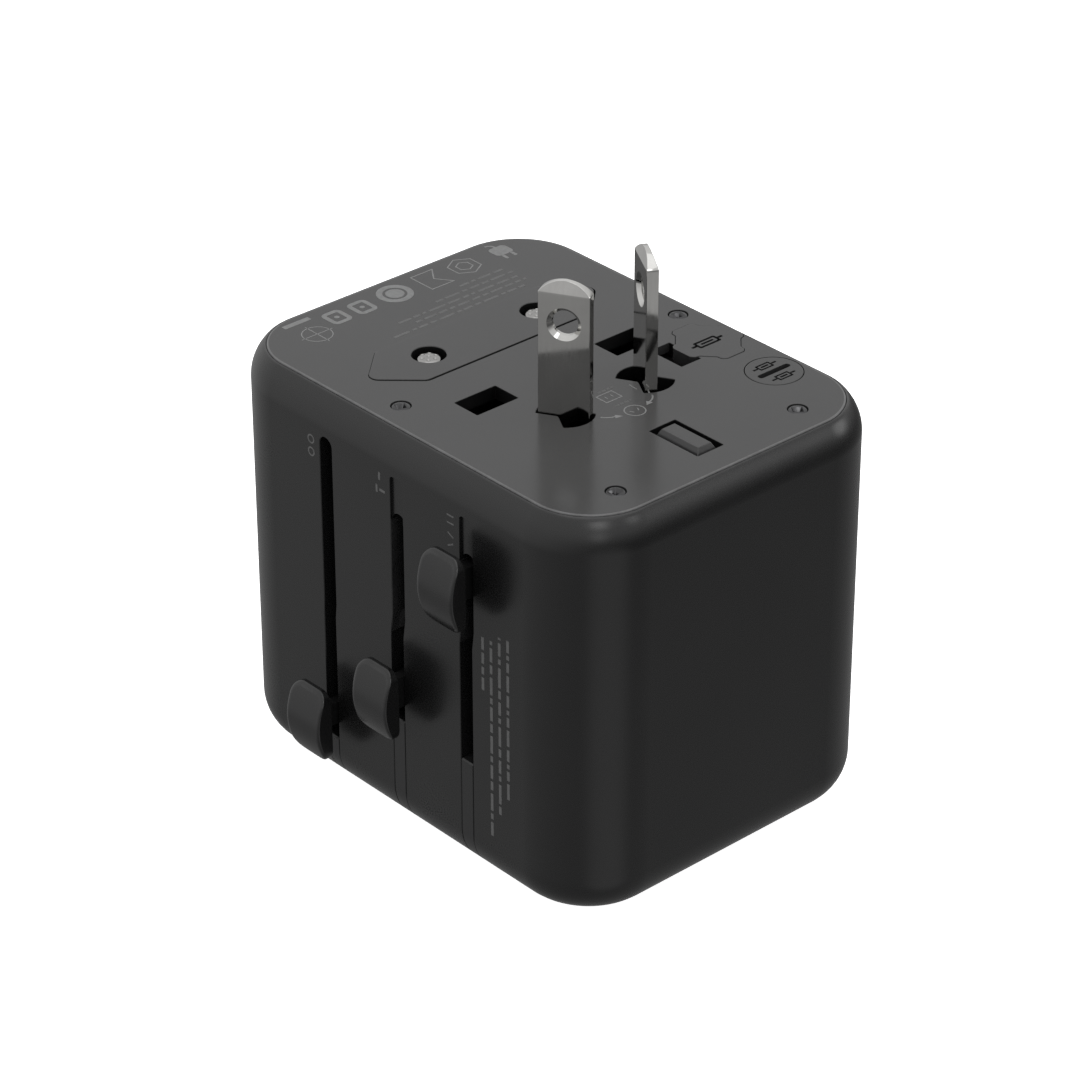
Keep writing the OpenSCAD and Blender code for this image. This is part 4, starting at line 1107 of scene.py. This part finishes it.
class Print:
    """Flat ink shapes 0.012 mm proud of a face."""

    def __init__(self, fn, lift=0.012, sink=0.02):
        self.s, self.fn, self.lift, self.sink = Shape(), fn, lift, sink

    def fill(self, pts):
        a = 0.5 * sum(pts[i - 1][0] * pts[i][1] - pts[i][0] * pts[i - 1][1] for i in range(len(pts)))
        if a < 0:
            pts = pts[::-1]
        self.s.stack([([self.fn((x, y, z)) for x, y in pts], 0) for z in (-self.sink, self.lift)])

    def ringfill(self, outer, inner):
        ids = [self.s.ring([self.fn((p[0], p[1], z)) for p in o]) for o, z in ((outer, -self.sink), (outer, self.lift), (inner, self.lift), (inner, -self.sink))]
        for a, b in zip(ids, ids[1:] + ids[:1]):
            self.s.skin(a, b)

    def line(self, pts, w, closed=False):
        left, right = stroke(pts, w, closed)
        if closed:
            self.ringfill([tuple(p) for p in right], [tuple(p) for p in left])
        else:
            self.fill([tuple(p) for p in right] + [tuple(p) for p in reversed(left)])

    def arrow(self, pts, w, head):
        self.line(pts[:-1], w)
        tip, base = Vector(pts[-1]), Vector(pts[-2])
        d = (tip - base).normalized()
        n = Vector((-d.y, d.x))
        self.fill([tuple(base - n * head * 0.55), tuple(base + d * head * 1.25), tuple(base + n * head * 0.55)])

    def dashes(self, x, y0, y1, h, pattern, along="y"):
        """A row of plain bars standing where small print would be."""
        y, k = y0, 0
        while y < y1 - 0.15:
            length, gap = pattern[k % len(pattern)]
            end = min(y + length, y1)
            if along == "y":
                self.fill([(x - h / 2, y), (x + h / 2, y), (x + h / 2, end), (x - h / 2, end)])
            else:
                self.fill([(y, x - h / 2), (end, x - h / 2), (end, x + h / 2), (y, x + h / 2)])
            y, k = end + gap, k + 1

    def done(self, name, mat, slot):
        ob = self.s.build(name)
        return finish_piece(ob, "housing", mat, weighted=False)


def arc(cx, cy, r, a0, a1, n=20):
    return [(cx + r * math.cos(math.radians(a0 + (a1 - a0) * k / n)), cy + r * math.sin(math.radians(a0 + (a1 - a0) * k / n))) for k in range(n + 1)]


def marks():
    on_top = lambda v: (v[0], v[1], H + v[2])
    solid, thin, faint = Print(on_top), Print(on_top), Print(on_top, 0.008)
    # solid marks along the -X edge
    solid.fill(rrect(0.4, 2.03, 0.1, 3, -29.4, -15.28))
    for cy in (-10.6, -6.6):
        solid.line(rrect(1.35, 1.15, 0.5, 6, -27.4, cy), 0.62, True)
        solid.fill(circle(-27.4, cy, 0.34, 20))
    solid.ringfill(circle(-27.5, -1.3, 2.35, 48), circle(-27.5, -1.3, 1.55, 48))
    solid.fill(circle(-27.5, -1.3, 1.2, 36))
    # a plain plug: body, two prongs and a tail
    solid.fill(rounded([(-28.9, 14.9), (-26.6, 14.9), (-26.6, 17.6), (-28.9, 17.6)], 0.6, 5))
    solid.fill(rrect(0.52, 0.22, 0.06, 2, -26.05, 15.55))
    solid.fill(rrect(0.52, 0.22, 0.06, 2, -26.05, 16.95))
    solid.line(arc(-28.9, 15.35, 0.9, 90, 180, 12), 0.3)
    # thin marks
    thin.line(circle(-25.5, -15.2, 1.9, 40), 0.13, True)
    thin.line([(-25.5 - 2.35, -15.2), (-25.5 + 2.35, -15.2)], 0.13)
    thin.line([(-25.5, -15.2 - 2.35), (-25.5, -15.2 + 2.35)], 0.13)
    thin.line([(-29.5, 2.9), (-25.3, 2.9), (-25.3, 6.4), (-27.4, 4.9), (-29.5, 6.4)], 0.15, True)
    hexa = lambda r: [(-27.5 + r * math.cos(pi / 3 * k), 10.0 + r * math.sin(pi / 3 * k)) for k in range(6)]
    thin.line(hexa(2.15), 0.15, True)
    thin.line(hexa(1.1), 0.15, True)
    # US / AU legend: flat socket and round socket, dashes and turning arrows
    thin.line([(8.8, -1.08), (10.65, -1.08), (10.65, 1.33), (8.8, 1.33)], 0.15, True)
    for y in (-0.33, 0.58):
        thin.line([(9.45, y), (10.0, y)], 0.13)
    thin.line(circle(14.2, 0.1, 1.27, 40), 0.15, True)
    thin.line([(13.95, 0.75), (14.45, 0.45)], 0.13)
    thin.line([(13.95, -0.55), (14.45, -0.25)], 0.13)
    thin.line([(9.12, 3.92), (10.5, 3.81)], 0.17)
    thin.line([(11.35, 4.75), (12.2, 4.3)], 0.17)
    thin.arrow(arc(11.7, 2.4, 2.1, 60, 12, 10) + [(14.07, 2.2)], 0.2, 0.75)
    thin.arrow(arc(11.7, -2.2, 2.1, -60, -12, 10) + [(14.18, -2.0)], 0.2, 0.75)
    thin.line([(9.12, -3.92), (10.5, -3.81)], 0.17)
    faint.dashes(8.2, -0.3, 2.1, 0.32, [(0.5, 0.16), (0.62, 0.16)])
    faint.dashes(11.95, -0.9, 1.5, 0.32, [(0.62, 0.16), (0.5, 0.16)])
    # rows of plain bars where the ratings stand
    rows = [(-23.7, 5.9, 13.5), (-22.4, 1.0, 13.6), (-21.1, -6.1, 13.5), (-19.9, -4.3, 13.5), (-18.6, -8.9, 12.4)]
    pats = [[(1.5, 0.4), (0.7, 0.4), (2.1, 0.45)], [(1.1, 0.35), (2.3, 0.5), (0.8, 0.4), (1.6, 0.4)], [(2.0, 0.4), (1.0, 0.4), (0.6, 0.5), (2.6, 0.4)],
            [(0.9, 0.4), (1.9, 0.45), (1.3, 0.4)], [(2.4, 0.5), (0.7, 0.35), (1.4, 0.4), (1.0, 0.4)]]
    for (x, y0, y1), p in zip(rows, pats):
        faint.dashes(x, y0, y1, 0.42, p)
    solid.done("plate_print_solid", INK, "plate_plastic")
    thin.done("plate_print_thin", INK_THIN, "plate_plastic")
    faint.done("plate_print_rows", INK_FAINT, "plate_plastic")

    on_face = lambda v: (v[0], FRONT - v[2], v[1])
    f = Print(on_face, 0.012)
    # EU: two round pins; UK: three bars; US and AU: parallel bars and slanted bars
    for z in (46.6, 48.3):
        f.line(circle(-14.9, z, 0.52, 24), 0.2, True)
    for x, z, a, b in ((-2.35, 48.5, 0.17, 0.5), (-1.85, 46.7, 0.5, 0.17), (-2.85, 46.7, 0.17, 0.5)):
        f.fill(rrect(a, b, 0.03, 2, x, z))
    for z in (48.6, 47.6):
        f.line([(9.7, z), (10.9, z)], 0.2)
    f.line([(9.8, 46.3), (10.8, 45.8)], 0.2)
    f.line([(9.8, 44.5), (10.8, 45.0)], 0.2)
    # rows of bars to the right of the US slot
    rows = [(15.75, 27.6, 34.9), (17.2, 7.9, 34.9), (18.65, 11.6, 36.0), (20.1, 14.4, 36.5)]
    pats = [[(1.7, 0.45), (1.0, 0.45), (1.5, 0.4)], [(1.9, 0.45), (0.8, 0.4), (2.4, 0.5), (1.2, 0.4)], [(1.1, 0.4), (2.7, 0.5), (0.7, 0.4), (1.8, 0.45)],
            [(2.2, 0.45), (1.3, 0.4), (0.6, 0.4), (1.6, 0.5)]]
    for (x, z0, z1), p in zip(rows, pats):
        f.dashes(x, z0, z1, 0.45, p)
    f.done("face_print", INK_FACE, "shell_plastic")


marks()

# ------------------------------------------------------------------ CAD nodes that stay, with their own materials
KEEP = {
    "inner_chassis": (DARKFRAME, "frame_plastic", 0.1), "contact_carrier": (NYLON, "carrier_plastic", 0.12),
    "socket_contact_live": (BRASS, "contact_brass", 0.05), "socket_contact_neutral": (BRASS, "contact_brass", 0.05),
    "live_busbar": (BRASS, "contact_brass", 0.05), "neutral_busbar": (BRASS, "contact_brass", 0.05), "shutter_plate": (ACETAL, "shutter_plastic", 0.12),
    "uk_carriage": (SLIDER, "slider_plastic", 0.12), "uk_wipers": (BRASS, "contact_brass", 0.04), "us_carriage": (SLIDER, "slider_plastic", 0.12),
    "us_contacts": (BRASS, "contact_brass", 0.04), "eu_carriage": (SLIDER, "slider_plastic", 0.12), "eu_wipers": (BRASS, "contact_brass", 0.04),
    "fuse_chambers": (DARKFRAME, "frame_plastic", 0.1), "fuse_clips": (BRASS, "contact_brass", 0.04), "fuse_body": (CERAMIC, "fuse_ceramic", 0.1),
    "fuse_end_caps": (FUSEMETAL, "fuse_metal", 0.15), "spare_fuse_body": (CERAMIC, "fuse_ceramic", 0.1), "spare_fuse_end_caps": (FUSEMETAL, "fuse_metal", 0.15),
    "usb_board": (BOARD, "circuit_board", 0.05), "usb_transformer_core": (FERRITE, "ferrite", 0.15), "usb_transformer_winding": (TAPE, "winding_tape", 0.3),
    "usb_capacitors": (CAPSLEEVE, "capacitor_sleeve", 0.3), "usb_wires": (WIRE, "wire_insulation", 0.05),
}
for name, (mat, slot, bev) in KEEP.items():
    ob = frame["nodes"][name]
    ob.data.materials.clear()
    ob.data.materials.append(mat)
    m = ob.modifiers.new("soft_edges", "BEVEL")
    m.width, m.segments, m.limit_method, m.angle_limit = bev * MM, 2, "ANGLE", math.radians(40)
    m.use_clamp_overlap = True

# ------------------------------------------------------------------ floor, light and camera
def stage_floor():
    s = Shape()
    n = 96
    a = s.ring([up(p, -0.02) for p in circle(0, 0, 1400, n)])
    b = s.ring([up(p, -0.02) for p in circle(0, 0, 300, n)])
    c = s.ring([up(p, -0.02) for p in circle(0, 0, 60, n)])
    s.skin(a, b), s.skin(b, c)
    s.cap(c)
    ob = s.build("studio_floor")
    for f in ob.data.polygons:
        f.use_smooth = True
    if ob.data.polygons[0].normal.z < 0:
        ob.data.flip_normals()
    n = Nodes("floor_pale_paper")
    n.link(n.mix(n.remap(n.noise(60, 3), 0.3, 0.7, 0, 1), (0.90, 0.90, 0.90), (0.93, 0.93, 0.93)), n.b.inputs["Base Color"])
    n.set("Roughness", 0.9)
    n.set("Specular IOR Level", 0.1)
    n.b.inputs["Emission Color"].default_value = (1, 1, 1, 1)
    n.b.inputs["Emission Strength"].default_value = 0.93
    ob.data.materials.append(n.m)
    ob.visible_glossy = False
    ob.visible_diffuse = False
    return ob


stage_floor()


def world():
    w = bpy.data.worlds.new("soft_studio")
    scene.world = w
    w.use_nodes = True
    t = w.node_tree
    t.nodes.clear()
    out = t.nodes.new("ShaderNodeOutputWorld")
    bg = t.nodes.new("ShaderNodeBackground")
    t.links.new(bg.outputs[0], out.inputs[0])
    tc = t.nodes.new("ShaderNodeTexCoord")
    sep = t.nodes.new("ShaderNodeSeparateXYZ")
    t.links.new(tc.outputs["Generated"], sep.inputs[0])
    mr = t.nodes.new("ShaderNodeMapRange")
    for k, v in zip(("From Min", "From Max", "To Min", "To Max"), (-1, 1, 0, 1)):
        mr.inputs[k].default_value = v
    t.links.new(sep.outputs[2], mr.inputs[0])

    def ramp(stops):
        r = t.nodes.new("ShaderNodeValToRGB")
        t.links.new(mr.outputs[0], r.inputs[0])
        el = r.color_ramp
        conv = [((z + 1) / 2, v) for z, v in stops]
        el.elements[0].position, el.elements[0].color = conv[0][0], (conv[0][1],) * 3 + (1,)
        el.elements[1].position, el.elements[1].color = conv[-1][0], (conv[-1][1],) * 3 + (1,)
        for p, v in conv[1:-1]:
            e = el.elements.new(p)
            e.color = (v, v, v, 1)
        return r.outputs[0]

    # towards the front and left the studio is pale to below the horizon; to the right and behind a dark band lies under it
    front = ramp([(-1.0, 0.20), (-0.62, 0.30), (-0.5, 0.36), (-0.34, 0.60), (0.0, 0.76), (0.3, 0.9), (1.0, 1.0)])
    behind = ramp([(-1.0, 0.22), (-0.62, 0.29), (-0.5, 0.29), (-0.42, 0.16), (-0.15, 0.10), (0.06, 0.36), (0.3, 0.8), (1.0, 1.0)])
    dot = t.nodes.new("ShaderNodeVectorMath")
    dot.operation = "DOT_PRODUCT"
    dot.inputs[1].default_value = (0.74, 0.67, 0.0)
    t.links.new(tc.outputs["Generated"], dot.inputs[0])
    f = t.nodes.new("ShaderNodeMapRange")
    for k, v in zip(("From Min", "From Max", "To Min", "To Max"), (-0.8, 0.4, 0, 1)):
        f.inputs[k].default_value = v
    t.links.new(dot.outputs["Value"], f.inputs[0])
    both = t.nodes.new("ShaderNodeMix")
    both.data_type = "RGBA"
    t.links.new(f.outputs[0], both.inputs[0])
    t.links.new(front, both.inputs[6])
    t.links.new(behind, both.inputs[7])
    # small soft windows to the right, the blobs on the shell's top corners
    total = None
    for d, c0, c1, power in (((0.635, -0.351, 0.688), 0.975, 0.997, 2.4), ((0.751, 0.314, 0.581), 0.985, 0.998, 1.6), ((0.489, 0.821, 0.295), 0.965, 0.995, 2.2),
                             ((0.82, -0.50, 0.28), 0.975, 0.997, 0.9), ((0.82, -0.27, -0.505), 0.88, 0.99, 0.30)):
        dp = t.nodes.new("ShaderNodeVectorMath")
        dp.operation = "DOT_PRODUCT"
        dp.inputs[1].default_value = tuple(Vector(d).normalized())
        t.links.new(tc.outputs["Generated"], dp.inputs[0])
        spot = t.nodes.new("ShaderNodeMapRange")
        spot.interpolation_type = "SMOOTHSTEP"
        for k, v in zip(("From Min", "From Max", "To Min", "To Max"), (c0, c1, 0, power)):
            spot.inputs[k].default_value = v
        t.links.new(dp.outputs["Value"], spot.inputs[0])
        if total is None:
            total = spot.outputs[0]
        else:
            add = t.nodes.new("ShaderNodeMath")
            t.links.new(total, add.inputs[0])
            t.links.new(spot.outputs[0], add.inputs[1])
            total = add.outputs[0]
    # the windows are not thrown on again by the blades, which would fan light over the plate
    lp = t.nodes.new("ShaderNodeLightPath")
    first = t.nodes.new("ShaderNodeMath")
    first.operation = "LESS_THAN"
    first.inputs[1].default_value = 0.5
    t.links.new(lp.outputs["Diffuse Depth"], first.inputs[0])
    gate = t.nodes.new("ShaderNodeMath")
    gate.operation = "MULTIPLY"
    t.links.new(total, gate.inputs[0])
    t.links.new(first.outputs[0], gate.inputs[1])
    total = gate.outputs[0]
    lit = t.nodes.new("ShaderNodeMix")
    lit.data_type, lit.blend_type = "RGBA", "ADD"
    lit.inputs[0].default_value = 1.0
    t.links.new(both.outputs[2], lit.inputs[6])
    t.links.new(total, lit.inputs[7])
    mx = t.nodes.new("ShaderNodeMix")
    mx.data_type = "RGBA"
    t.links.new(lp.outputs["Is Camera Ray"], mx.inputs[0])
    t.links.new(lit.outputs[2], mx.inputs[6])
    mx.inputs[7].default_value = (1, 1, 1, 1)
    t.links.new(mx.outputs[2], bg.inputs[0])
    bg.inputs[1].default_value = 1.0


world()


def lamp(name, loc, target, size, power, shape="RECTANGLE", size_y=None):
    d = bpy.data.lights.new(name, "AREA")
    d.energy, d.shape, d.size = power, shape, size
    if shape == "RECTANGLE":
        d.size_y = size_y or size
    o = bpy.data.objects.new(name, d)
    o.location = loc
    o.rotation_mode = "QUATERNION"
    o.rotation_quaternion = (Vector(target) - Vector(loc)).to_track_quat("-Z", "Y")
    scene.collection.objects.link(o)
    return o


lamp("overhead_softbox", (0.10, 0.05, 0.95), (0, 0, 0.03), 0.9, 1.2)


def camera():
    az, el, roll = math.radians(48.144), math.radians(30.34), math.radians(-0.072)
    dist, tx, ty, f = 481.003, 2.033, -20.122, 4057.448
    back = Vector((math.sin(az) * math.cos(el), -math.cos(az) * math.cos(el), math.sin(el)))
    fwd = -back
    right = fwd.cross(Vector((0, 0, 1))).normalized()
    down = fwd.cross(right)
    c, s = math.cos(roll), math.sin(roll)
    m0 = right * c - down * s
    m1 = right * s + down * c
    centre = -(m0 * tx + m1 * ty + fwd * dist)
    centre = centre + Vector((0.735, 0.053, 54.7))
    cam = bpy.data.cameras.new("camera")
    cam.lens, cam.sensor_width, cam.sensor_fit = f / 1080 * 36, 36, "HORIZONTAL"
    cam.clip_start, cam.clip_end = 0.02, 20
    ob = bpy.data.objects.new("camera", cam)
    rot = Matrix((m0, -m1, back)).transposed()
    ob.matrix_world = Matrix.Translation(centre * MM) @ rot.to_4x4()
    scene.collection.objects.link(ob)
    scene.camera = ob


camera()
scene.view_settings.view_transform = "Standard"
scene.view_settings.look = "None"
scene.view_settings.exposure = 0.0
scene.view_settings.gamma = 1.0
